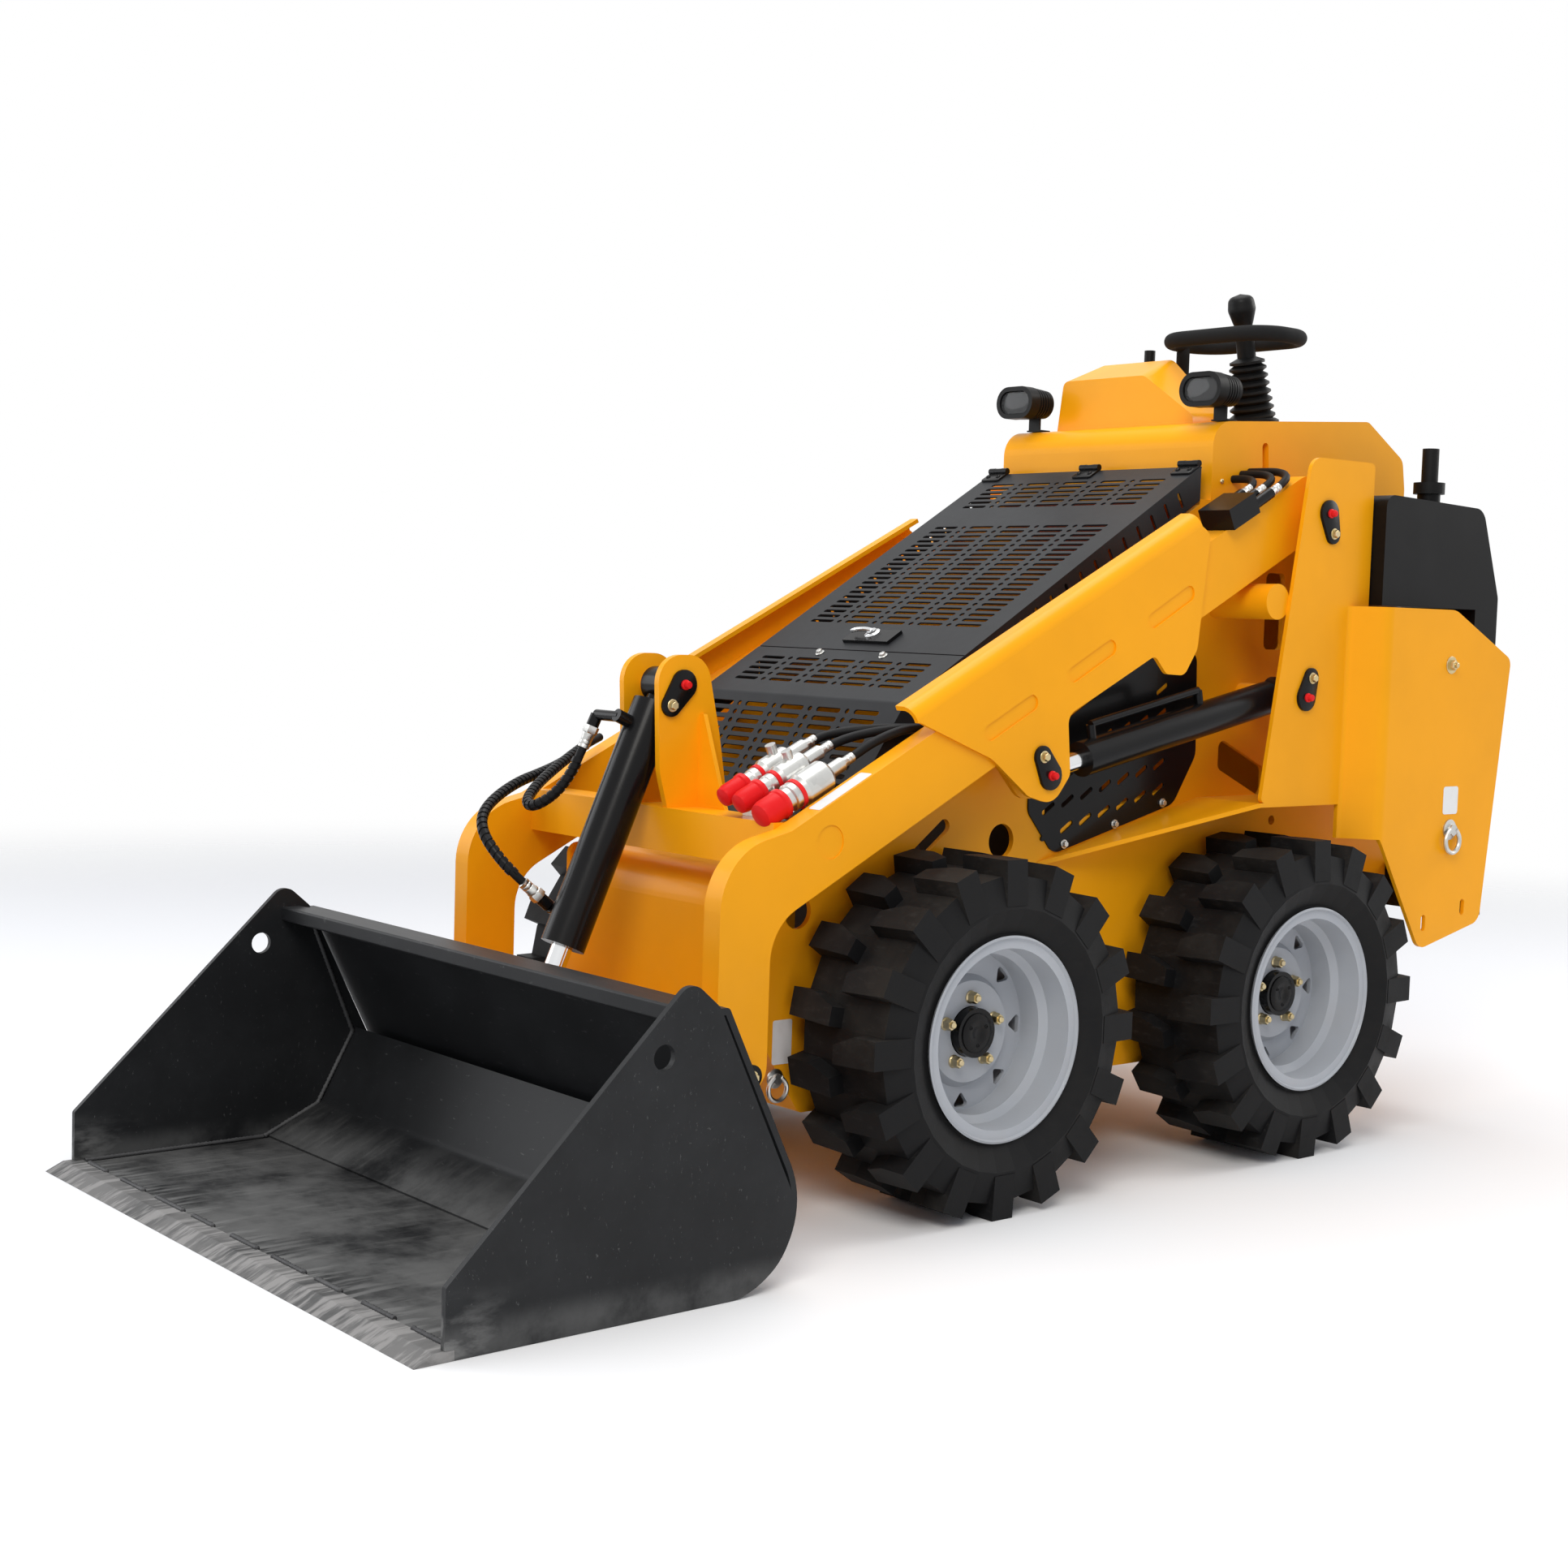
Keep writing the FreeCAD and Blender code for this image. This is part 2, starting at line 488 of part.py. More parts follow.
def make_tower():
    """Outer plate with the arm pins, bent rear panel, sloping ledge and cross tube of one side."""
    face = [(706, 648, 10), (935, 648, 0), (935, 1013, 0), (1000, 1013, 0), (1000, 1282, 12),
            (812, 1282, 30)]
    outer = plate("tower_plate", "YZ_Plane", [outline(face)], "Sizes.tower_x", "Sizes.tower_wall")
    x0, x1, wall = S["tower_x"], S["rear_panel_x"], S["tower_wall"]
    jog = [(x0, 935, 0), (x0, 945, 20), (x1, 990, 20), (x1, 1400, 0)]
    bend = plate("rear_panel_sheet", "XY_Plane", [outline(bent_sheet(jog, -wall))], "340", "700")
    axle = S["wheelbase"]
    panel_face = [(axle + 147, 576, 0), (axle + 202, 576, 0), (axle + 343, 358, 30), (axle + 540, 402, 30),
                  (S["rear_y"], 920, 20), (axle + 410, 1013, 60), (axle + 147, 1013, 0)]
    panel = plate("rear_panel_face", "YZ_Plane", [outline(panel_face), slot(axle + 353, 400, axle + 353, 418, 7),
                                                 slot(axle + 480, 424, axle + 480, 442, 7)], "380", "140")
    ledge_path = [(284, 537, 0), (706, 640, 40), (935, 640, 0)]
    ledge_strip = plate("ledge_strip", "YZ_Plane", [outline(bent_sheet(ledge_path, 8))], "Sizes.chassis_half",
                        "Sizes.tower_x + Sizes.tower_wall - Sizes.chassis_half")
    reach = S["tower_x"] + S["tower_wall"]
    ledge_plan = plate("ledge_plan", "XY_Plane",
                       [outline([(S["chassis_half"], 280, 0), (reach, 706, 0), (reach, 940, 0),
                                 (S["chassis_half"], 940, 0)])], "500", "200")
    span = "Sizes.tower_x - Sizes.chassis_half"
    pieces = [outer, common("rear_panel_bend", bend, panel), common("ledge", ledge_strip, ledge_plan),
              cylinder("cross_tube", "Sizes.cross_tube_radius", span, "Sizes.chassis_half",
                       "Sizes.cross_tube_y", "Sizes.cross_tube_z"),
              cylinder("arm_pin", "Sizes.lift_pin_radius", span, "Sizes.chassis_half",
                       "Sizes.lift_pivot_y", "Sizes.lift_pivot_z"),
              cylinder("barrel_pin", "Sizes.lift_pin_radius", span, "Sizes.chassis_half",
                       "Sizes.lift_base_y", "Sizes.lift_base_z")]
    return fuse("tower", pieces)


def make_upper_body():
    """Console with its dash hump, tanks with caps, lamps and hand controls."""
    base = S["deck_base_z"]
    front, front_z = S["deck_front_y"], S["deck_front_z"]
    rear, rear_z, tail = S["deck_rear_y"], S["deck_rear_z"], S["tail_y"]
    side_view = [(front, base, 0), (front, front_z, S["deck_roll"]), (rear, rear_z, 25), (1293, 1312, 25),
                 (tail, 1255, 10), (tail, base, 0)]
    cowl = plate("cowl", "YZ_Plane", [outline(side_view)], "-Sizes.chassis_half", "2 * Sizes.chassis_half")
    hump = doc.addObject("PartDesign::Body", "hump")
    # Columns: height of the section's plane along y, left and right foot, left and right shoulder, top.
    sections = []
    for y, left, right, left_top, right_top, top in ((770, -189, 166, -174, 38, 1449),
                                                     (886, -204, 140, -184, 10, 1492),
                                                     (900, -202, 136, -180, 6, 1484)):
        foot = deck_height(y) - 14
        loop = outline([(left, foot, 0), (left_top, top, 14), (right_top, top, 30), (right, foot + 30, 20),
                        (right, foot, 0)])
        sections.append(sketch(hump, "XZ_Plane", [loop], str(-y)))
    loft = hump.newObject("PartDesign::AdditiveLoft", "hump_loft")
    loft.Profile = sections[0]
    loft.Sections = sections[1:]
    loft.Ruled = True
    pockets = plate("key_slot", "YZ_Plane", [slot(862, 1257, 858, 1307, 9)], "Sizes.chassis_half - 18", "20")
    cowl = cut("cowl_slotted", cowl, fuse("key_slots", [pockets, mirrored("key_slot_mirror", pockets)]))
    node("console", fuse("console_shell", [cowl, hump]))

    tank_view = [(1003, 1016, 0), (1003, S["tank_top_z"], 25), (1320, S["tank_top_z"] - 12, 35), (1384, 1041, 25),
                 (1384, 935, 10), (1345, 935, 0), (1308, 940, 0), (1308, 1016, 0)]
    tank = plate("tank", "YZ_Plane", [outline(tank_view)], "Sizes.tank_inner_x",
                 "Sizes.tank_outer_x - Sizes.tank_inner_x")
    upright = FreeCAD.Rotation()
    neck = cylinder("neck", "22", "24", "395", "1210", "Sizes.tank_top_z - 12", upright)
    caps = [cylinder("cap_%d" % i, radius, length, "395", "1210", "Sizes.tank_top_z + %s" % rise, upright)
            for i, (radius, length, rise) in enumerate([("30", "22", "12.3"), ("16", "70", "30")])]
    left_tank = node("fuel_tank", fuse("fuel_tank_body", [tank, neck]))
    node("oil_tank", mirrored("oil_tank_mirror", left_tank), moved=False)
    cap = fuse("cap", caps)
    node("tank_caps", gathered("cap_pair", [cap, mirrored("cap_mirror", cap)]))

    wide, tall = S["lamp_half_width"], S["lamp_half_height"]
    lamp_parts = []
    # Columns: share of the lamp's full outline, start behind its face, length.
    for share, start, length in ((1.0, 0, 26), (0.88, 26, 44), (0.97, 30, 4), (0.95, 38, 4), (0.93, 46, 4),
                                 (0.91, 54, 4), (0.89, 62, 4)):
        lamp_parts.append(plate("lamp_step", "XZ_Plane",
                                [slot(-(wide - tall) * share, 0, (wide - tall) * share, 0, tall * share)],
                                str(-start - length), str(length)))
    recess = plate("lamp_recess", "XZ_Plane", [slot(-(wide - tall), 0, wide - tall, 0, tall - 9)], "-8", "12")
    lamp = cut("lamp", fuse("lamp_body", lamp_parts), recess)
    lamp.setExpression("Placement.Base.x", "Sizes.lamp_x")
    lamp.setExpression("Placement.Base.y", "Sizes.lamp_y - 24")
    lamp.setExpression("Placement.Base.z", "Sizes.lamp_z")
    post_foot = deck_height(S["lamp_y"] + 62) + S["seat_gap"]
    post = block("lamp_post", "30", "4", "Sizes.lamp_z - %s" % post_foot, "Sizes.lamp_x - 15",
                 "Sizes.lamp_y + 36", str(post_foot))
    base = block("lamp_base", "40", "26", "3", "Sizes.lamp_x - 20", "Sizes.lamp_y + 36", str(post_foot))
    foot = fuse("lamp_set", [lamp, post, base])
    node("lamps", gathered("lamp_pair", [foot, mirrored("lamp_mirror", foot)]))

    slope = math.degrees(math.atan2(rear_z - front_z, rear - front))
    foot_z, lean = deck_height(S["stick_y"]), slope + 9
    top = (S["stick_top_z"] - foot_z) / math.cos(math.radians(lean))
    radius, rings, pitch, start = S["bellows_radius"], 7, 15.5, 7
    base = turned("stick_base", "XZ_Plane", [outline([(0, S["seat_gap"], 0), (radius + 5, S["seat_gap"], 0),
                                                      (radius + 5, 8, 0), (radius - 2, 12, 0), (0, 12, 0)])],
                  "V_Axis")
    side = [(0, start, 0), (radius - 8, start, 0)]
    for i in range(rings):
        outer = radius - i * 1.3
        side += [(outer, start + (i + 0.45) * pitch, 0), (outer, start + (i + 0.7) * pitch, 0),
                 (outer - 9.3, start + (i + 1.1) * pitch, 0)]
    collar = start + (rings + 0.2) * pitch
    side += [(34, collar, 0), (34, collar + 5, 0), (18, collar + 12, 0), (18, top - 82, 0), (15, top - 76, 0),
             (15, top - 68, 0), (20, top - 54, 20), (27, top - 30, 20), (24, top - 6, 14), (0, top, 0)]
    stick = turned("stick", "XZ_Plane", [outline(side)], "V_Axis")
    for part, turn in ((base, slope), (stick, lean)):
        part.Placement = FreeCAD.Placement(Vector(0, 0, foot_z), FreeCAD.Rotation(Vector(1, 0, 0), turn))
        part.setExpression("Placement.Base.x", "Sizes.stick_x")
        part.setExpression("Placement.Base.y", "Sizes.stick_y")
    node("joystick", fuse("joystick_set", [base, stick]))

    loop = doc.addObject("PartDesign::Body", "loop")
    low_x, high_x, low_y, high_y, bend = -14, 246, 868, 1018, 62
    spine = sketch(loop, "XY_Plane", [outline([(low_x, low_y, bend), (high_x, low_y, bend), (high_x, high_y, bend),
                                               (low_x, high_y, bend)])], "Sizes.loop_z")
    section = sketch(loop, "YZ_Plane", [hole(low_y, S["loop_z"], S["loop_tube"])], str((low_x + high_x) / 2))
    pipe = loop.newObject("PartDesign::AdditivePipe", "loop_pipe")
    pipe.Profile = section
    pipe.Spine = spine
    leg_y = (low_y + high_y) / 2
    leg_foot = deck_height(leg_y + 12) + 0.5
    legs = [cylinder("loop_leg", "Sizes.loop_tube - 2", "Sizes.loop_z - %s" % leg_foot, str(low_x), str(leg_y),
                     str(leg_foot), upright),
            cylinder("loop_leg_plate", "30", "6", str(low_x), str(leg_y), str(leg_foot + 1.5), upright)]
    node("hand_guard", fuse("hand_guard_bar", [loop] + legs))

    lever_y = 935
    lever = [cylinder("lever_stem", "4", "130", "-95", str(lever_y), "%s" % (deck_height(lever_y) + 0.6), upright),
             cylinder("lever_knob", "11", "34", "-95", str(lever_y), "%s" % (deck_height(lever_y) + 125), upright)]
    node("throttle_lever", fuse("throttle", lever))


def grille_rows(first, count):
    """Slots in five columns with round holes between them, in rows at one pitch along the sheet."""
    loops = []
    for row in range(count):
        along = first + row * S["slot_pitch"]
        reach = S["slot_half_length"] - S["slot_half_width"]
        for column in range(-2, 3):
            centre = column * S["slot_column"]
            loops.append(slot(centre - reach, along, centre + reach, along, S["slot_half_width"]))
        for column in (-1.5, -0.5, 0.5, 1.5):
            loops.append(hole(column * S["slot_column"], along, S["grille_hole"]))
    return loops


def grille_sheet(name, start, end, fields, foot, degrees):
    """Flat sheet with grille fields of (first row, rows), laid at its slope through a foot given as (y, z)."""
    half = S["hood_half"]
    loops = [outline([(-half, start, 0), (half, start, 0), (half, end, 0), (-half, end, 0)])]
    for first, count in fields:
        loops += grille_rows(first, count)
    sheet_body = plate(name, "XY_Plane", loops, "-Sizes.hood_wall", "Sizes.hood_wall")
    sheet_body.Placement = FreeCAD.Placement(Vector(0, foot[0], foot[1]),
                                             FreeCAD.Rotation(Vector(1, 0, 0), degrees))
    return sheet_body


def make_hood():
    """Fixed lower hood and the door hinged at its top edge, both perforated, each with side skirts."""
    seam_y, seam_z = S["hood_seam_y"], S["hood_seam_z"]
    hinge_y, hinge_z = S["hood_hinge_y"], S["hood_hinge_z"]
    wall, skirt = S["hood_wall"], S["hood_skirt"]
    slope = math.degrees(math.atan2(hinge_z - seam_z, hinge_y - seam_y))
    along, across = math.cos(math.radians(slope)), math.sin(math.radians(slope))
    bend_y, bend_z, toe_y, toe_z = -48, hood_line(-48), -196, 606
    steep = math.degrees(math.atan2(bend_z - toe_z, bend_y - toe_y))
    top_end = (hinge_y - 6 - seam_y) / along
    bend_at = (bend_y - seam_y) / along
    facet = math.hypot(bend_y - toe_y, bend_z - toe_z)
    toe_way = Vector(toe_y - bend_y, toe_z - bend_z, 0).normalize()
    bend_sheet = [(bend_y + 20 * along, bend_z + 20 * across, 0), (bend_y, bend_z, 14),
                  (bend_y + 16 * toe_way.x, bend_z + 16 * toe_way.y, 0)]
    tops = {
        "hood_front": [grille_sheet("hood_front_slope", bend_at + 20, -2, [(-109, 5)], (seam_y, seam_z), slope),
                       grille_sheet("hood_front_facet", -facet, -16, [(-24 - 11 * S["slot_pitch"], 12)],
                                    (bend_y, bend_z), steep),
                       plate("hood_bend", "YZ_Plane", [outline(bent_sheet(bend_sheet, wall))],
                             "-Sizes.hood_half", "2 * Sizes.hood_half")],
        "hood_door": [grille_sheet("hood_door_slope", 1, top_end, [(98, 21), (546, 6)], (seam_y, seam_z), slope)],
    }
    skirt_faces = {
        "hood_front": [(toe_y, toe_z, 0), (bend_y, bend_z, 20), (seam_y - 2, hood_line(seam_y - 2), 0),
                       (seam_y - 2, hood_line(seam_y - 2, skirt), 0), (-20, hood_line(-20, skirt) - 8, 20),
                       (-150, 606, 0)],
        "hood_door": [(seam_y + 1, hood_line(seam_y + 1), 0), (hinge_y - 6, hood_line(hinge_y - 6), 0),
                      (hinge_y - 6, hood_line(hinge_y - 6, skirt), 0),
                      (seam_y + 1, hood_line(seam_y + 1, skirt), 0)],
    }
    vents = []
    for number in range(14):
        y, z = seam_y + (60 + 42 * number) * along, seam_z + (60 + 42 * number) * across
        vents.append(slot(y + 17 * across, z - 17 * along, y + 40 * across, z - 40 * along, 4))
    for name, tops_made in tops.items():
        loops = [outline(skirt_faces[name])] + (vents if name == "hood_door" else [])
        skirts = [plate(name + "_skirt", "YZ_Plane", loops, "Sizes.hood_half - Sizes.hood_wall",
                        "Sizes.hood_wall")]
        skirts.append(mirrored(name + "_skirt_mirror", skirts[0]))
        node(name, fuse(name + "_shell", tops_made + skirts))
    latch = block("latch_plate", "120", "40", "6", "-60", "0", str(hood_line(seam_y + 20) + S["seat_gap"]))
    latch.Placement.Rotation = FreeCAD.Rotation(Vector(1, 0, 0), slope)
    latch.setExpression("Placement.Base.y", "Sizes.hood_seam_y + 20 + %s" % FRAME_SHIFT)
    node("hood_latch", latch, moved=False)


def make_arms():
    """Bent arm beams, cross beam with cylinder ears, pipe guards and quick couplers."""
    depth = S["arm_depth"]
    slope = math.radians(S["arm_slope"])
    pivot_along = ((S["lift_pivot_y"] - S["arm_low_y"]) * math.cos(slope)
                   + (S["lift_pivot_z"] - S["arm_low_z"]) * math.sin(slope))
    low_rear = arm_point(pivot_along + 56, 0)
    top_rear = arm_point(pivot_along + 56, depth)
    top_front = (-369, arm_point((-369 - S["arm_low_y"]) / math.cos(math.radians(S["arm_slope"])), 0)[1]
                 + depth / math.cos(math.radians(S["arm_slope"])))
    heel_z = arm_point((S["arm_heel_y"] - S["arm_low_y"]) / math.cos(math.radians(S["arm_slope"])), 0)[1]
    front, heel, toe = S["arm_front_y"], S["arm_heel_y"], S["bucket_pivot_z"] - 26
    face = [(front, toe, 24), (front, 600, 110), (top_front[0], top_front[1], 0),
            (top_rear[0], top_rear[1], 55), (low_rear[0], low_rear[1], 50), (heel, heel_z, 90), (heel, toe, 40)]
    bores = [hole(S["lift_pivot_y"], S["lift_pivot_z"], S["lift_pin_radius"] + S["running_gap"]),
             hole(S["bucket_pivot_y"], S["bucket_pivot_z"], S["bucket_pin_radius"] + S["running_gap"])]
    arm = plate("arm", "YZ_Plane", [outline(face)] + bores, "Sizes.arm_inner_x", "Sizes.arm_width")
    press = cylinder("press_mark", "27", "10", "Sizes.arm_inner_x + Sizes.arm_width - 2", "-289", "612")
    arm = cut("arm_pressed", arm, press)
    lug_y, lug_z = S["lift_lug_y"], S["lift_lug_z"]
    inner_lug = plate("inner_lug", "YZ_Plane",
                      [outline([(lug_y - 120, lug_z + 60, 0), (lug_y - 20, lug_z - 45, 40),
                                (lug_y + 34, lug_z - 45, 32), (lug_y + 45, lug_z + 85, 0)])],
                      "Sizes.lift_cylinder_x - Sizes.lift_eye_width / 2 - 13", "8")
    left = node("arm_left", fuse("arm_beam", [arm, inner_lug]))
    node("arm_right", mirrored("arm_mirror", left), moved=False)

    beam = block("cross_beam_tube", "2 * Sizes.arm_inner_x", "Sizes.cross_beam_side", "Sizes.cross_beam_side",
                 "-Sizes.arm_inner_x", "Sizes.cross_beam_y - Sizes.cross_beam_side / 2",
                 "Sizes.cross_beam_z - Sizes.cross_beam_side / 2")
    pin_y, pin_z = S["tilt_pin_y"], S["tilt_pin_z"]
    ear_face = [(-241, 641, 8), (-262, 760, 80), (pin_y + 50, pin_z + 51, 46), (pin_y - 50, pin_z + 51, 46),
                (-384, 700, 90), (-346, 569, 6), (-308, 569, 6), (-308, 641, 0)]
    ear = plate("ear", "YZ_Plane", [outline(ear_face)], "Sizes.ear_gap_half", "Sizes.ear_wall")
    pin = cylinder("ear_pin", "Sizes.bucket_pin_radius", "2 * Sizes.ear_gap_half + 2", "-Sizes.ear_gap_half - 1",
                   "Sizes.tilt_pin_y", "Sizes.tilt_pin_z")
    rib = plate("ear_rib", "XZ_Plane",
                [outline([(53, 795, 0), (53, 640, 0), (128, 640, 0), (122, 652, 0), (64, 795, 0)])], "296", "8")
    node("cross_beam", fuse("cross_beam_weldment", [beam, ear, mirrored("ear_mirror", ear), rib,
                                                    mirrored("ear_rib_mirror", rib), pin]))

    outer = S["arm_inner_x"] + S["arm_width"] + S["guard_wall"]
    roll, flange = 25, S["guard_flange"]
    drop_y, drop_z = roll * math.sin(slope), -roll * math.cos(slope)
    flange_front, flange_rear = (-132, 822), (540, 1165)
    guard_face = [(flange_front[0] + drop_y, flange_front[1] + drop_z, 0), (49, 737, 60),
                  (lug_y - 48, lug_z - 36, 30), (lug_y + 12, lug_z - 52, 40),
                  (lug_y + 52, lug_z - 2, 20), (226, 808, 24), (440, 912, 14), (472, 880, 18), (520, 878, 22),
                  (552, 925, 20), (575, 1130, 20), (flange_rear[0] + drop_y, flange_rear[1] + drop_z, 0)]
    sheet_plate = plate("guard_sheet", "YZ_Plane", [outline(guard_face)], "Sizes.arm_inner_x + Sizes.arm_width",
                        "Sizes.guard_wall")
    press_marks = [plate("guard_press_%d" % i, "YZ_Plane", [slot(y0, z0, y1, z1, 14)],
                         "Sizes.arm_inner_x + Sizes.arm_width + Sizes.guard_wall - 3", "6")
                   for i, (y0, z0, y1, z1) in enumerate([(44, 781, 138, 829), (237, 878, 325, 924),
                                                         (433, 974, 524, 1023)])]
    profile = [(outer, -roll - 4, 0), (outer, 0, roll), (outer - flange, 0, 0)]
    length = math.hypot(flange_rear[0] - flange_front[0], flange_rear[1] - flange_front[1])
    flange_body = plate("guard_flange", "XY_Plane", [outline(bent_sheet(profile, S["guard_wall"]))], "0",
                        str(length))
    # The profile's plane is stood square to the arm, with its second axis away from the arm's top.
    flange_body.Placement = FreeCAD.Placement(
        Vector(0, flange_rear[0], flange_rear[1]), FreeCAD.Rotation(Vector(1, 0, 0), 90 + S["arm_slope"]))
    guard_solid = cut("guard_pressed", fuse("guard_plate", [sheet_plate, flange_body]),
                      fuse("guard_press_set", press_marks))
    left_guard = node("guard_left", guard_solid)
    node("guard_right", mirrored("guard_mirror", left_guard), moved=False)

    couplers = []
    for i, (route, radius) in enumerate(zip(COUPLER_HOSES, (27, 21, 20))):
        first, second = Vector(*route[0]), Vector(*route[1])
        # Columns: radius, distance back along the coupler's axis from the end of the hose.
        side = [(0, 0, 0), (12, 0, 0), (12, 36, 0), (radius - 4, 36, 0), (radius, 42, 0), (radius, 92, 0),
                (radius - 4, 98, 0), (radius - 4, 118, 0), (radius * 0.74, 120, 0), (radius * 0.74, 146, 0),
                (0, 146, 0)]
        body = turned("coupler_%d" % i, "XZ_Plane", [outline(side)], "V_Axis")
        body.Placement = FreeCAD.Placement(first, FreeCAD.Rotation(Vector(0, 0, 1), first - second))
        way = (first - second).normalize()
        couplers.append(body)
        if i > 0:
            port = first + way * 62
            couplers.append(rod_between("coupler_port_%d" % i, 9, port, port + Vector(0, -way.z, way.y) * -34))
    beam_top = "Sizes.cross_beam_z + Sizes.cross_beam_side / 2 + Sizes.seat_gap"
    shelf = block("coupler_shelf", "116", "8", "46", "210", "Sizes.cross_beam_y + 4", beam_top)
    node("quick_couplers", fuse("coupler_set", couplers + [shelf]))


def make_hoses():
    """Hoses of the couplers, the tilt cylinder and the arm's root, with their bracket and clamp."""
    bracket = block("bracket_plate", "Sizes.arm_inner_x - Sizes.seat_gap - 281", "6", "64", "281", "-30", "756")
    node("hose_bracket", bracket)
    bracket.setExpression("Placement.Base.y", "-30 + %s" % FRAME_SHIFT)
    depth = S["arm_depth"]
    rear = S["arm_low_y"] + 642
    along = (rear - S["arm_low_y"]) * math.cos(math.radians(S["arm_slope"])) + 258
    corners = [arm_point(along + step, depth + rise) for step, rise in
               ((-140, 0.6), (-62, 0.6), (-62, 40), (-140, 40))]
    clamp = plate("clamp_block", "YZ_Plane", [outline([(y, z, 0) for y, z in corners])], "326", "72")
    sleeves = []
    for i, route in enumerate(ROOT_HOSES):
        first, second = Vector(*route[0]), Vector(*route[1])
        sleeves.append(rod_between("root_sleeve_%d" % i, 10.5, first - (second - first).normalize() * 74, first))
    node("hose_clamp", fuse("clamp_set", [clamp] + sleeves))
    for name, routes in (("coupler_hose", COUPLER_HOSES), ("root_hose", ROOT_HOSES)):
        for i, route in enumerate(routes):
            hose("%s_%d" % (name, i + 1), route)
    hose("tilt_hose_upper", TILT_HOSE_UPPER)
    hose("tilt_hose_lower", TILT_HOSE_LOWER)


def make_lift_cylinder():
    """Barrel hinged on its base pin and rod that runs to the lug of the arm, left side."""
    base_y, base_z = S["lift_base_y"], S["lift_base_z"]
    turn = axis_rotation(base_y, base_z, S["lift_lug_y"], S["lift_lug_z"])
    reach = math.hypot(S["lift_lug_y"] - base_y, S["lift_lug_z"] - base_z)
    length = "%s - Sizes.lift_rod_show" % reach
    upright = FreeCAD.Rotation()
    eye = cylinder("barrel_eye", "Sizes.lift_pin_radius + 14", "Sizes.lift_eye_width", "-Sizes.lift_eye_width / 2", "0", "0")
    tube = cylinder("barrel_tube", "Sizes.lift_barrel_radius", length + " - 34", "0", "0", "34", upright)
    neck = cylinder("barrel_neck", "Sizes.lift_pin_radius", "30", "0", "0", "20", upright)
    pin_hole = cylinder("barrel_pin_hole", "Sizes.lift_pin_radius + Sizes.running_gap", "Sizes.lift_eye_width + 10",
                        "-Sizes.lift_eye_width / 2 - 5", "0", "0")
    bore = cylinder("barrel_bore", "Sizes.lift_bore_radius", length, "0", "0", "60", upright)
    gland = cylinder("barrel_gland", "Sizes.lift_bore_radius", "40", "0", "0", length + " - 40", upright)
    gland_hole = cylinder("barrel_gland_hole", "Sizes.lift_rod_radius + Sizes.running_gap", "60", "0", "0",
                          length + " - 50", upright)
    tube_wall = cut("barrel_wall", tube, bore)
    pipe_y = "Sizes.lift_barrel_radius + Sizes.lift_port_pipe_radius + 16"
    pipe = cylinder("barrel_pipe", "Sizes.lift_port_pipe_radius", length + " - 260", "0", pipe_y, "225",
                    upright)
    ports = [cylinder("barrel_port_%d" % i, "Sizes.lift_port_pipe_radius + 1", "%s" % pipe_y, "0", "0", place,
                      FreeCAD.Rotation(Vector(1, 0, 0), -90))
             for i, place in enumerate(["225", length + " - 35"])]
    shell = cut("barrel_solid", fuse("barrel_parts", [tube_wall, eye, neck, gland, pipe] + ports),
                fuse("barrel_holes", [pin_hole, gland_hole, cylinder("barrel_inner", "Sizes.lift_bore_radius",
                                      length + " - 100", "0", "0", "60", upright)]))
    barrel = gathered("lift_barrel", [shell])
    rod_eye = cylinder("rod_eye", "Sizes.lift_eye_radius", "Sizes.lift_eye_width", "-Sizes.lift_eye_width / 2",
                       "0", "%s" % reach)
    rod = cylinder("rod_bar", "Sizes.lift_rod_radius", "%s - 100" % reach, "0", "0", "100", upright)
    piston = cylinder("rod_piston", "Sizes.lift_bore_radius - Sizes.running_gap", "40", "0", "0", "80", upright)
    rod_set = gathered("lift_rod", [fuse("rod_parts", [rod_eye, rod, piston])])
    for piece, label in ((barrel, "lift_barrel"), (rod_set, "lift_rod")):
        piece.Placement = FreeCAD.Placement(Vector(0, 0, base_z), turn)
        piece.setExpression("Placement.Base.x", "Sizes.lift_cylinder_x")
        piece.setExpression("Placement.Base.y", "Sizes.lift_base_y + %s" % FRAME_SHIFT)
        node(label + "_left", piece, moved=False)
        node(label + "_right", mirrored(label + "_mirror", piece), moved=False)


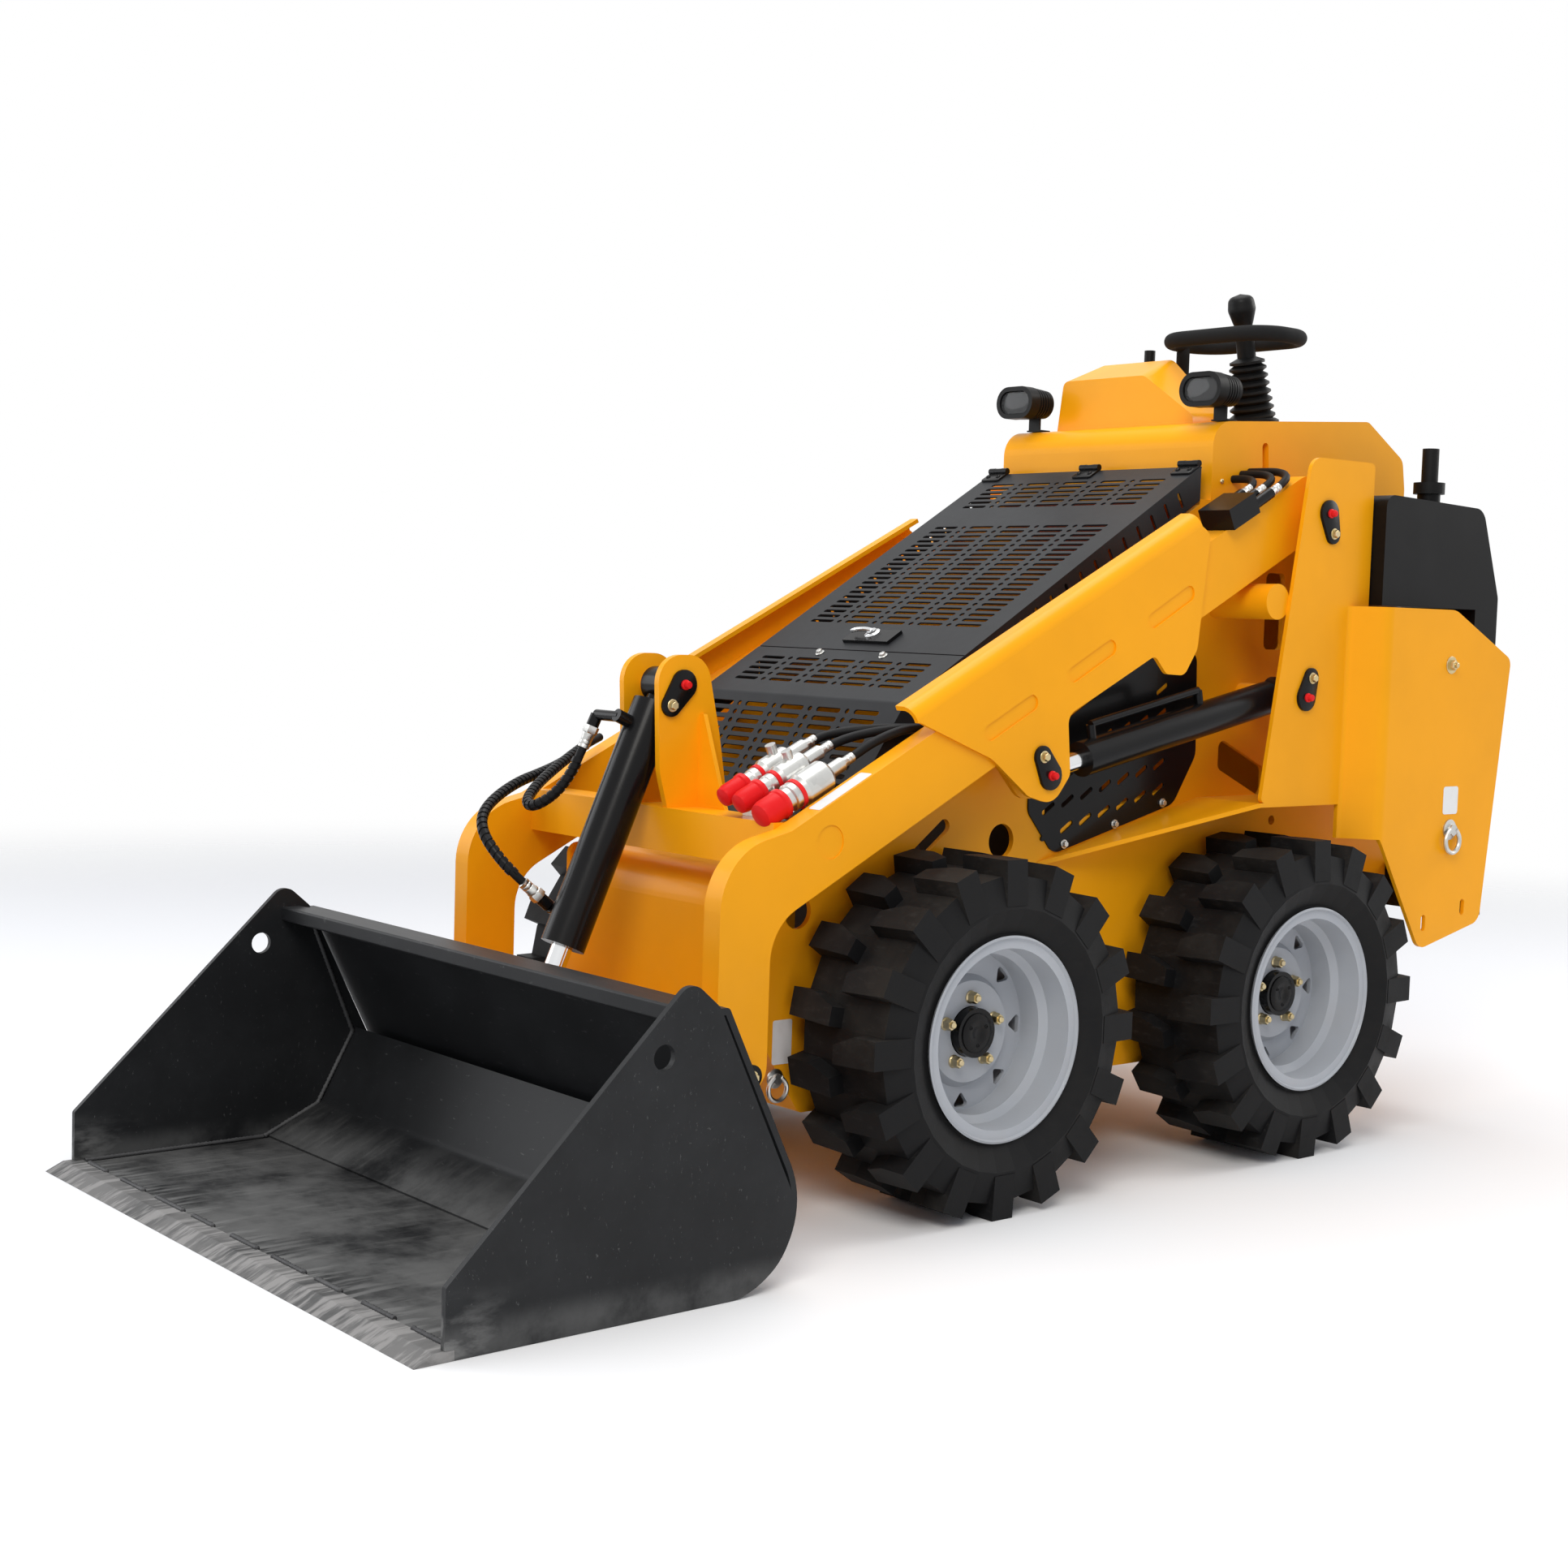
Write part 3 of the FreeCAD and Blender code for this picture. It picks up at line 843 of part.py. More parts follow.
def make_tilt_cylinder():
    """Barrel hung between the ears and rod that runs to the attach plate."""
    turn = axis_rotation(S["tilt_pin_y"], S["tilt_pin_z"], S["tilt_rod_pin_y"], S["tilt_rod_pin_z"])
    reach = math.hypot(S["tilt_rod_pin_y"] - S["tilt_pin_y"], S["tilt_rod_pin_z"] - S["tilt_pin_z"])
    upright = FreeCAD.Rotation()
    eye = cylinder("tilt_base_eye", "30", "Sizes.tilt_eye_width", "-Sizes.tilt_eye_width / 2", "0", "0")
    tube = cylinder("tilt_tube", "Sizes.tilt_barrel_radius", "Sizes.tilt_gland_end - Sizes.tilt_barrel_start",
                    "0", "0", "Sizes.tilt_barrel_start", upright)
    neck = cylinder("tilt_neck", "18", "40", "0", "0", "10", upright)
    pin_hole = cylinder("tilt_pin_hole", "Sizes.bucket_pin_radius + Sizes.running_gap", "Sizes.tilt_eye_width + 10",
                        "-Sizes.tilt_eye_width / 2 - 5", "0", "0")
    inner = cylinder("tilt_bore", "Sizes.tilt_bore_radius", "Sizes.tilt_gland_end - 110", "0", "0", "70", upright)
    rod_hole = cylinder("tilt_rod_hole", "Sizes.tilt_rod_radius + Sizes.running_gap", "200", "0", "0",
                        "Sizes.tilt_gland_end - 150", upright)
    shell = cut("tilt_shell", fuse("tilt_parts", [eye, tube, neck]), fuse("tilt_holes", [pin_hole, inner, rod_hole]))
    # Each port: a boss out of the barrel's front or right side, a knee, then a sleeve that the hose leaves.
    home = FreeCAD.Placement(Vector(0, S["tilt_pin_y"], S["tilt_pin_z"]), turn).inverse()
    fittings = []
    for route in (TILT_HOSE_UPPER, TILT_HOSE_LOWER):
        first, second = home.multVec(Vector(*route[0])), home.multVec(Vector(*route[1]))
        elbow = first - (second - first).normalize() * 34
        in_front = elbow.y > S["tilt_barrel_radius"]
        out = Vector(0, 1, 0) if in_front else Vector(-1, 0, 0)
        knee = Vector(0, elbow.y, elbow.z) if in_front else Vector(elbow.x, 0, elbow.z)
        boss_start = Vector(0, 0, elbow.z) + out * (S["tilt_barrel_radius"] - 4)
        fittings += [rod_between("tilt_port", 11, boss_start, knee + out * 8),
                     rod_between("tilt_knee", 9, knee, elbow), rod_between("tilt_sleeve", 10.5, elbow, first)]
    barrel = gathered("tilt_barrel_piece", [fuse("tilt_barrel_fitted", [shell] + fittings)])
    rod_eye = cylinder("tilt_rod_eye", "Sizes.tilt_eye_radius", "Sizes.tilt_eye_width", "-Sizes.tilt_eye_width / 2",
                       "0", "%s" % reach)
    rod = cylinder("tilt_rod_bar", "Sizes.tilt_rod_radius", "%s - 140" % reach, "0", "0", "140", upright)
    piston = cylinder("tilt_piston", "Sizes.tilt_bore_radius - Sizes.running_gap", "40", "0", "0", "140", upright)
    rod_set = gathered("tilt_rod_piece", [fuse("tilt_rod_parts", [rod_eye, rod, piston])])
    for piece, label in ((barrel, "tilt_barrel"), (rod_set, "tilt_rod")):
        piece.Placement = FreeCAD.Placement(Vector(0, 0, S["tilt_pin_z"]), turn)
        piece.setExpression("Placement.Base.y", "Sizes.tilt_pin_y + %s" % FRAME_SHIFT)
        node(label, piece, moved=False)


def make_bucket():
    """Bent shell with side plates, cutting edge, and the attach plate that hangs on the arms."""
    wall, radius = S["bucket_wall"], S["bucket_heel_radius"]
    lip, heel_y, heel_z = S["lip_y"], -655, 140
    slope_low, slope_top = (-520, 150), (-656, 418)
    lean = (slope_low[0] - slope_top[0]) / (slope_top[1] - slope_low[1])
    corner_y = slope_low[0] + lean * slope_low[1]
    path = [(lip + S["bucket_edge_depth"] - 40, 0, 0), (corner_y, 0, radius - 10),
            (slope_top[0], slope_top[1], 8), (-700, 418, 0)]
    shell = plate("shell", "YZ_Plane", [outline(bent_sheet(path, wall))],
                  "-Sizes.bucket_width / 2", "Sizes.bucket_width")
    edge_end = lip + S["bucket_edge_depth"] - 40
    above_edge = S["bucket_edge_wall"] + S["seat_gap"]
    side_face = [(edge_end, 4, 0), (edge_end, above_edge, 0), (-1102, above_edge, 0), (-1102, 96, 6), (-722, 462, 26), (-672, 420, 26), (corner_y - 22, 9, radius - 34)]
    side = plate("bucket_side", "YZ_Plane", [outline(side_face), hole(-766, 359, 18)],
                 "Sizes.bucket_width / 2 - Sizes.bucket_side_wall", "Sizes.bucket_side_wall")
    chamfer = plate("corner_plate", "YZ_Plane",
                    [outline(bent_sheet([(-745, 9, 0), (-640, 60, 30), (-572, 190, 0)], 6))],
                    "Sizes.bucket_side_wall - Sizes.bucket_width / 2",
                    "Sizes.bucket_width - 2 * Sizes.bucket_side_wall")
    bar = plate("top_bar", "YZ_Plane", [outline([(-727, 396, 4), (-690, 396, 4), (-690, 421, 4), (-727, 421, 4)])],
                "Sizes.bucket_side_wall - Sizes.bucket_width / 2",
                "Sizes.bucket_width - 2 * Sizes.bucket_side_wall")
    node("bucket_shell", fuse("bucket_weldment", [shell, side, mirrored("bucket_side_mirror", side), bar, chamfer]))

    edge_wall = S["bucket_edge_wall"]
    edge = [(lip, 0, 0), (lip + S["bucket_edge_depth"] - 40.3, 0, 0),
            (lip + S["bucket_edge_depth"] - 40.3, edge_wall, 0), (lip + 30, edge_wall, 0)]
    node("cutting_edge", plate("edge", "YZ_Plane", [outline(edge)], "-Sizes.bucket_width / 2", "Sizes.bucket_width"))

    normal = Vector(slope_top[1] - slope_low[1], slope_low[0] - slope_top[0], 0).normalize()
    down = Vector(-normal.y, normal.x, 0) * -1
    top = Vector(slope_top[0], slope_top[1], 0) + down * 52
    inside, outside = S["attach_gap"], S["attach_gap"] + S["attach_wall"]
    face = [top + normal * inside, top + normal * outside, top + down * 235 + normal * outside,
            top + down * 235 + normal * inside]
    blank = plate("attach_back", "YZ_Plane", [outline([(p.x, p.y, 0) for p in face])],
                  "-Sizes.attach_half_width", "2 * Sizes.attach_half_width")
    window_face = [top - down * 10, top + down * 95, top + down * 95 + normal * 40, top - down * 10 + normal * 40]
    window = plate("attach_window", "YZ_Plane", [outline([(p.x, p.y, 0) for p in window_face])],
                   "-Sizes.tilt_eye_width / 2 - 5.5", "Sizes.tilt_eye_width + 11")
    back = cut("attach_notched", blank, window)
    spacer_face = [top + down * 20, top + down * 20 + normal * inside, top + down * 215 + normal * inside,
                   top + down * 215]
    spacers = [plate("attach_rib_%d" % i, "YZ_Plane", [outline([(p.x, p.y, 0) for p in spacer_face])], start, "12")
               for i, start in enumerate(["-300", "-160", "148", "288"])]
    pin_y, pin_z = S["bucket_pivot_y"], S["bucket_pivot_z"]
    foot_top = top + down * 60 + normal * (outside - 2)
    foot_low = top + down * 232 + normal * (outside - 2)
    ear_face = [(foot_top.x, foot_top.y, 0), (foot_low.x, foot_low.y, 0), (pin_y + 4, pin_z - 34, 26),
                (pin_y + 34, pin_z + 4, 26), (pin_y + 6, pin_z + 36, 26)]
    inner = "Sizes.arm_inner_x - 3 - 12"
    outer = "Sizes.arm_inner_x + Sizes.arm_width + 3"
    ears = [plate("attach_ear_%d" % i, "YZ_Plane", [outline(ear_face)], start, "12")
            for i, start in enumerate([inner, outer])]
    pin = cylinder("attach_pin", "Sizes.bucket_pin_radius", "Sizes.arm_width + 10", "Sizes.arm_inner_x - 5",
                   "Sizes.bucket_pivot_y", "Sizes.bucket_pivot_z")
    side_set = fuse("attach_side", ears + [pin])
    rod_y, rod_z = S["tilt_rod_pin_y"], S["tilt_rod_pin_z"]
    root_top = Vector(rod_y, rod_z, 0) - down * 45
    root_top = root_top - normal * ((root_top - top).dot(normal) - outside + 2)
    root_low = root_top + down * 100
    lug_face = [(root_top.x, root_top.y, 0), (root_low.x, root_low.y, 0), (rod_y + 24, rod_z - 26, 22),
                (rod_y + 26, rod_z + 22, 22)]
    lug = plate("rod_lug", "YZ_Plane", [outline(lug_face)], "Sizes.tilt_eye_width / 2 + 6", "12")
    node("attach_plate", fuse("attach_weldment", [back, side_set, mirrored("attach_side_mirror", side_set), lug,
                                                  mirrored("rod_lug_mirror", lug)] + spacers))


def check_and_export():
    """Stops on a failed feature or an unsound shape, then writes one file for each sub-part."""
    doc.recompute()
    failed = [item.Name for item in doc.Objects if {"Invalid", "Error"} & set(item.State)]
    if failed:
        raise RuntimeError("failed features: %s" % failed)
    os.makedirs("parts", exist_ok=True)
    for piece in nodes:
        shape = piece.Shape
        if shape.isNull() or not shape.isValid() or not shape.Solids:
            raise RuntimeError("unsound shape: %s" % piece.Label)
        shape.exportStep(os.path.join("parts", piece.Label + ".step"))


make_wheels()
make_chassis()
tower = node("tower_left", make_tower())
node("tower_right", mirrored("tower_mirror", tower), moved=False)
make_upper_body()
make_hood()
make_arms()
make_hoses()
make_lift_cylinder()
make_tilt_cylinder()
make_bucket()
check_and_export()
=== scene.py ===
"""Dressed model of a compact skid steer loader on four wheels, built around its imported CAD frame."""
import json
import math

import bmesh
import bpy
from mathutils import Matrix, Vector, noise


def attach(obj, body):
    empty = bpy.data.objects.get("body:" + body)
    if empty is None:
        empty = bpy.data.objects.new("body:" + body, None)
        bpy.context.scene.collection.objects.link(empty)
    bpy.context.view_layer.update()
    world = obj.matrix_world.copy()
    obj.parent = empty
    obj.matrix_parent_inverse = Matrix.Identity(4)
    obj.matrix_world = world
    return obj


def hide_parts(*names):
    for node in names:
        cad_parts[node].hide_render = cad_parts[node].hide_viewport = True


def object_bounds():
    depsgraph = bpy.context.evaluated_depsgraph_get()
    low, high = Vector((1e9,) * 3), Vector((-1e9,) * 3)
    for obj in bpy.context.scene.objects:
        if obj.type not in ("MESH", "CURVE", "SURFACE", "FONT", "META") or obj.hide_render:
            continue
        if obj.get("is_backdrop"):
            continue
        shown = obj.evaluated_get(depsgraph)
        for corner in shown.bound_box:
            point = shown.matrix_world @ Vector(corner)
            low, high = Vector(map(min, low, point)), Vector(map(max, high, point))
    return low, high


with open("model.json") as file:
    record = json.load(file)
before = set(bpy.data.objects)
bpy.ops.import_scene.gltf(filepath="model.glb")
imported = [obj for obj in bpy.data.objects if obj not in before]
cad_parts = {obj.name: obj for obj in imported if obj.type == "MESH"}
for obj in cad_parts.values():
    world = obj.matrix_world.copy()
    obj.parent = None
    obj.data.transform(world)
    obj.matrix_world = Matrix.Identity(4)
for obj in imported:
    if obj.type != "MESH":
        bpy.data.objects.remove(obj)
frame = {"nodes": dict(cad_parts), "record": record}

bl_info = {
    "name": "Compact Skid Steer Loader",
    "version": (1, 0, 0),
    "blender": (4, 5, 0),
    "location": "View3D > Sidebar > Loader",
    "description": "Finishes, fittings, hoses and stage for a compact loader on four wheels",
    "category": "Object",
}

# Machine places are in millimetres: x to its left, y back from the front axle, z up from the floor.
FRAME_SHIFT = -122.5
MM = 0.001

# Outer faces of the CAD parts that carry fittings, as x in millimetres.
CHASSIS_SIDE = 272
GUARD_SIDE = 275
PANEL_SIDE = 480
# Places of the wheels and of the hood's top and bottom edges, in millimetres.
AXLE_Z, WHEELBASE, STUD_FACE = 292, 788, 406
HINGE_Y, HINGE_Z = 678, 1263
SEAM_Y, SEAM_Z = 85, 904
# Arm beams: how steeply their rear run climbs, one point on its underside and the depth of a beam.
ARM_SLOPE = 27
ARM_Y, ARM_Z, ARM_DEPTH = 63, 723, 115
HOSE_RADIUS = 7.5
# In metres: the gap that keeps a fitting off the face behind it, and the thickness of a blank plate.
SKIN = 0.0002
STICKER = 0.0004


def spot(x, y, z):
    """A machine place in millimetres as a point of the frame in metres."""
    return Vector((x * MM, (y + FRAME_SHIFT) * MM, z * MM))


LEFT, BACK, UP = Vector((1, 0, 0)), Vector((0, 1, 0)), Vector((0, 0, 1))


def slope_way(degrees):
    """Unit vector in the side view that runs back and up at so many degrees."""
    return Vector((0, math.cos(math.radians(degrees)), math.sin(math.radians(degrees))))


# ---- finishes -------------------------------------------------------------------------------

class Amount:
    """One varying value of a finish. Sums, products and powers of it add the Math nodes."""

    def __init__(self, finish, socket):
        self.finish, self.socket = finish, socket

    def _math(self, operation, *values):
        settings = {"operation": operation}
        return self.finish.node("ShaderNodeMath", settings, {i: v for i, v in enumerate(values)})

    def __add__(self, other):
        return self._math("ADD", self, other)

    __radd__ = __add__

    def __sub__(self, other):
        return self._math("SUBTRACT", self, other)

    def __rsub__(self, other):
        return self._math("SUBTRACT", other, self)

    def __mul__(self, other):
        return self._math("MULTIPLY", self, other)

    __rmul__ = __mul__

    def __pow__(self, other):
        return self._math("POWER", self, other)

    def band(self, low, high):
        """0 below low, 1 above high and smooth between them."""
        settings = {"interpolation_type": "SMOOTHSTEP"}
        return self.finish.node("ShaderNodeMapRange", settings,
                                {"Value": self, "From Min": low, "From Max": high})

    def most(self, other):
        return self._math("MAXIMUM", self, other)

    def size(self):
        return self._math("ABSOLUTE", self)


class Finish:
    """A node material in the making, with its principled shader and object coordinates."""

    def __init__(self, name, colour, roughness=0.5, metallic=0.0, **constants):
        self.material = bpy.data.materials.new(name)
        self.material.use_nodes = True
        self.tree = self.material.node_tree
        self.shader = self.tree.nodes["Principled BSDF"]
        self.constant("Base Color", (*colour, 1.0))
        self.constant("Roughness", roughness)
        self.constant("Metallic", metallic)
        for socket, value in constants.items():
            self.constant(socket.replace("_", " "), value)
        self.place = self.node("ShaderNodeTexCoord", {}, {}, "Object")

    def constant(self, socket, value):
        self.shader.inputs[socket].default_value = value

    def node(self, kind, settings, inputs, output=0):
        """Adds a node: its settings first, then the values or links of its sockets."""
        added = self.tree.nodes.new(kind)
        for key, value in settings.items():
            setattr(added, key, value)
        for key, value in inputs.items():
            socket = added.inputs[key]
            if isinstance(value, Amount):
                self.tree.links.new(value.socket, socket)
            else:
                socket.default_value = value
        return Amount(self, added.outputs[output])

    def drive(self, socket, value):
        self.tree.links.new(value.socket, self.shader.inputs[socket])

    def noise(self, scale, detail=3.0, rough=0.5, stretch=None, place=None):
        """Cloudy value from 0 to 1 at so many features a metre."""
        place = place or self.place
        if stretch:
            place = self.node("ShaderNodeMapping", {}, {"Vector": place, "Scale": stretch})
        return self.node("ShaderNodeTexNoise", {}, {"Vector": place, "Scale": scale, "Detail": detail,
                                                    "Roughness": rough})

    def cells(self, scale):
        """One random colour to each of so many cells a metre."""
        return self.node("ShaderNodeTexVoronoi", {"feature": "F1"}, {"Vector": self.place, "Scale": scale},
                         "Color")

    def axis(self, name):
        """One of the object coordinates, in metres."""
        return self.node("ShaderNodeSeparateXYZ", {}, {"Vector": self.place}, name)

    def facing(self, name):
        """One component of the surface normal in object space, from -1 to 1."""
        geometry = self.node("ShaderNodeNewGeometry", {}, {}, "Normal")
        turned = self.node("ShaderNodeVectorTransform",
                           {"vector_type": "NORMAL", "convert_from": "WORLD", "convert_to": "OBJECT"},
                           {"Vector": geometry})
        return self.node("ShaderNodeSeparateXYZ", {}, {"Vector": turned}, name)

    def blend(self, factor, first, second):
        """Colour that goes from the first to the second as the factor goes from 0 to 1."""
        first, second = (c if isinstance(c, Amount) else (*c, 1.0) for c in (first, second))
        return self.node("ShaderNodeMix", {"data_type": "RGBA"}, {"Factor": factor, 6: first, 7: second}, 2)

    def relief(self, height, strength, distance):
        """Bump from a height value, into the shader's normal."""
        bump = self.node("ShaderNodeBump", {}, {"Height": height, "Strength": strength, "Distance": distance})
        self.drive("Normal", bump)


def painted_steel(name, colour, gloss, shade, dust, grime=0.35):
    """Gloss paint with a faint orange peel, soft tone changes, dust on top and grime low down."""
    finish = Finish(name, colour, gloss, Coat_Weight=0.05, Coat_Roughness=0.06, Specular_IOR_Level=0.14)
    clouds = finish.noise(3.5, 4.0, 0.55)
    specks = finish.noise(140.0, 2.0)
    film = (finish.facing("Z").band(0.45, 1.0) * clouds.band(0.42, 0.75)) * dust
    foot = (1 - finish.axis("Z").band(0.05, 0.55)) * finish.noise(9.0, 5.0, 0.6).band(0.40, 0.72) * grime
    tone = finish.blend(clouds.band(0.25, 0.8), colour, shade)
    tone = finish.blend(film, tone, (0.56, 0.50, 0.42))
    tone = finish.blend(foot, tone, (0.40, 0.33, 0.25))
    finish.drive("Base Color", tone)
    finish.drive("Roughness", gloss + clouds * 0.10 + film * 0.35 + foot * 0.35)
    finish.relief(finish.noise(260.0, 1.0) + specks * 0.4, 0.045, 0.0008)
    return finish.material


def powder_coat(name, colour, pale, grain=900.0):
    """Fine-grained satin powder coat with light rubs as soft paler clouds."""
    finish = Finish(name, colour, 0.42, Specular_IOR_Level=0.18)
    clouds = finish.noise(4.0, 4.0, 0.6)
    finish.drive("Base Color", finish.blend(clouds.band(0.35, 0.8) * 0.7, colour, pale))
    finish.drive("Roughness", 0.36 + clouds * 0.14 + finish.noise(60.0, 2.0) * 0.05)
    finish.relief(finish.noise(grain, 2.0), 0.10, 0.0006)
    return finish.material


def plated(name, colour, tint, roughness, scale=70.0):
    """Plated metal: mottled zinc or bright chrome by its colours and roughness."""
    finish = Finish(name, colour, roughness, 1.0)
    patches = finish.cells(scale)
    mottle = finish.node("ShaderNodeSeparateColor", {}, {"Color": patches}, "Red")
    finish.drive("Base Color", finish.blend(mottle * 0.7, colour, tint))
    finish.drive("Roughness", roughness + mottle * 0.09 + finish.noise(25.0, 4.0) * 0.06)
    finish.relief(finish.noise(420.0, 2.0), 0.03, 0.0004)
    return finish.material


def rubbery(name, colour, pale, roughness, grain):
    """Moulded rubber or plastic with a fine grain and faint pale bloom."""
    finish = Finish(name, colour, roughness, Specular_IOR_Level=0.12)
    clouds = finish.noise(6.0, 5.0, 0.6)
    finish.drive("Base Color", finish.blend(clouds.band(0.4, 0.85), colour, pale))
    finish.drive("Roughness", roughness + clouds * 0.12)
    finish.relief(finish.noise(grain, 3.0), 0.14, 0.0008)
    return finish.material


def tyre_compound():
    """Tyre rubber: scuffed and dusty tread, darker and smoother side wall."""
    finish = Finish("tyre_compound", (0.010, 0.010, 0.0105), 0.6, Specular_IOR_Level=0.10)
    dirt = finish.noise(7.0, 5.0, 0.65).band(0.42, 0.72)
    scuff = finish.noise(30.0, 4.0, 0.7, (1.0, 1.0, 3.0)).band(0.52, 0.75)
    side = finish.facing("X").size().band(0.75, 0.97)
    tread = 1 - side
    tone = finish.blend(scuff * 0.55 * tread, (0.0095, 0.0095, 0.010), (0.034, 0.033, 0.032))
    tone = finish.blend(dirt * 0.35 * tread, tone, (0.050, 0.046, 0.040))
    tone = finish.blend(side * dirt * 0.12, tone, (0.03, 0.029, 0.027))
    finish.drive("Base Color", tone)
    finish.drive("Roughness", 0.55 + dirt * 0.22 + scuff * 0.08 - side * 0.13)
    finish.relief(finish.noise(350.0, 3.0) * 0.5 + finish.noise(40.0, 3.0) * 0.5, 0.20, 0.0012)
    return finish.material


def bucket_coat(name, base, worn, bare):
    """Satin black bucket paint with scraped floor, bare rubs near the lip and drag streaks."""
    finish = Finish(name, base, 0.42, Specular_IOR_Level=0.16)
    y, z = finish.axis("Y"), finish.axis("Z")
    clouds = finish.noise(5.0, 6.0, 0.65)
    streaks = finish.noise(26.0, 5.0, 0.6, (3.0, 0.35, 1.0))
    scuffs = finish.noise(90.0, 5.0, 0.75, (0.4, 2.0, 1.0))
    up = finish.facing("Z").band(0.7, 0.98)
    low = 1 - z.band(0.02, 0.10)
    floor = up * low
    lip = 1 - (y + 1.27).band(0.02, 0.20)
    film = floor * (clouds.band(0.35, 0.75) * 0.55 + streaks.band(0.50, 0.72) * 0.35)
    rubs = (scuffs.band(0.62, 0.72) * 0.35).most(low * lip * streaks.band(0.38, 0.60) * 0.8)
    edge = (1 - z.band(0.02, 0.06)) * clouds.band(0.3, 0.6) * 0.3
    tone = finish.blend(clouds.band(0.3, 0.8), base, worn)
    tone = finish.blend(film, tone, (0.105, 0.104, 0.100))
    tone = finish.blend(rubs.most(edge), tone, bare)
    finish.drive("Base Color", tone)
    finish.drive("Roughness", 0.36 + clouds * 0.12 + film * 0.35 + rubs * 0.1)
    finish.relief(finish.noise(240.0, 2.0) * 0.5 + streaks * 0.5, 0.07, 0.001)
    return finish.material


def blank_decal():
    """Blank pale sticker with a slight sheen and soft soiling."""
    finish = Finish("blank_decal", (0.80, 0.80, 0.79), 0.35, Coat_Weight=0.3)
    clouds = finish.noise(40.0, 4.0)
    soil = clouds.band(0.45, 0.8) * 0.5
    finish.drive("Base Color", finish.blend(soil, (0.82, 0.82, 0.81), (0.70, 0.69, 0.66)))
    finish.drive("Roughness", 0.32 + clouds * 0.15)
    return finish.material


def lamp_glass():
    """Clear glass that lets the lamp behind it show."""
    finish = Finish("lamp_glass", (0.92, 0.94, 0.95), 0.05, Transmission_Weight=0.9, IOR=1.45, Alpha=0.45)
    finish.drive("Roughness", 0.03 + finish.noise(30.0, 3.0) * 0.06)
    return finish.material


def make_finishes(settings):
    """Every finish of the machine by its plain name."""
    yellow, hood = tuple(settings.yellow), tuple(settings.hood)
    return {
        "yellow_paint": painted_steel("yellow_gloss", yellow, 0.30, tuple(c * 0.90 for c in yellow),
                                      0.10, 0.06),
        "black_paint": painted_steel("black_gloss", (0.004, 0.004, 0.0045), 0.20, (0.007, 0.007, 0.0075),
                                     0.03, 0.03),
        "rim_silver": painted_steel("rim_silver_paint", (0.44, 0.46, 0.49), 0.34, (0.38, 0.40, 0.43),
                                    0.05, 0.10),
        "hood_coat": powder_coat("hood_powder_coat", hood, (0.030, 0.032, 0.035)),
        "engine_grey": powder_coat("engine_cast", (0.060, 0.062, 0.064), (0.11, 0.11, 0.11), 300.0),
        "weld_bead": powder_coat("weld_steel", (0.050, 0.050, 0.052), (0.13, 0.13, 0.13), 200.0),
        "tank_plastic": rubbery("tank_moulding", (0.004, 0.004, 0.0045), (0.008, 0.008, 0.0085),
                                0.28, 500.0),
        "black_plastic": rubbery("black_moulding", (0.008, 0.008, 0.008), (0.015, 0.015, 0.015),
                                 0.34, 500.0),
        "foam_grip": rubbery("foam_sleeve", (0.014, 0.014, 0.014), (0.030, 0.030, 0.030), 0.78, 900.0),
        "red_cap": rubbery("red_cap_rubber", (0.72, 0.012, 0.014), (0.80, 0.03, 0.03), 0.30, 300.0),
        "hose_rubber": rubbery("hose_cover", (0.008, 0.008, 0.0085), (0.016, 0.016, 0.0165), 0.42, 700.0),
        "spring_guard": rubbery("spiral_wrap", (0.008, 0.008, 0.0085), (0.014, 0.014, 0.0145),
                                0.24, 400.0),
        "zinc": plated("zinc_plating", (0.62, 0.62, 0.60), (0.46, 0.46, 0.45), 0.26),
        "gold_zinc": plated("gold_zinc_plating", (0.62, 0.50, 0.26), (0.52, 0.44, 0.30), 0.28),
        "chrome_rod": plated("hard_chrome", (0.78, 0.79, 0.80), (0.70, 0.71, 0.72), 0.08, 20.0),
        "bucket_paint": bucket_coat("bucket_black", (0.013, 0.0135, 0.0145), (0.022, 0.023, 0.0245),
                                    (0.22, 0.22, 0.215)),
        "worn_edge": bucket_coat("worn_edge_steel", (0.055, 0.056, 0.056), (0.12, 0.12, 0.118),
                                 (0.33, 0.32, 0.31)),
        "tyre_rubber": tyre_compound(),
        "decal": blank_decal(),
        "lamp_glass": lamp_glass(),
    }


# ---- shapes ---------------------------------------------------------------------------------

def lay_up(way):
    """Rotation that takes local Z to a direction."""
    return Vector((0, 0, 1)).rotation_difference(Vector(way)).to_matrix().to_4x4()


def lathe(bm, profile, place, way, steps=24):
    """Spins (radius, height) points in millimetres about the axis that leaves a place along a direction."""
    way = Vector(way).normalized()
    turn = Matrix.Translation(place) @ lay_up(way)
    verts = [bm.verts.new(turn @ Vector((radius * MM, 0, height * MM))) for radius, height in profile]
    edges = [bm.edges.new(pair) for pair in zip(verts, verts[1:])]
    bmesh.ops.spin(bm, geom=verts + edges, cent=place, axis=way, angle=math.tau, steps=steps, use_merge=True,
                   use_duplicate=False)


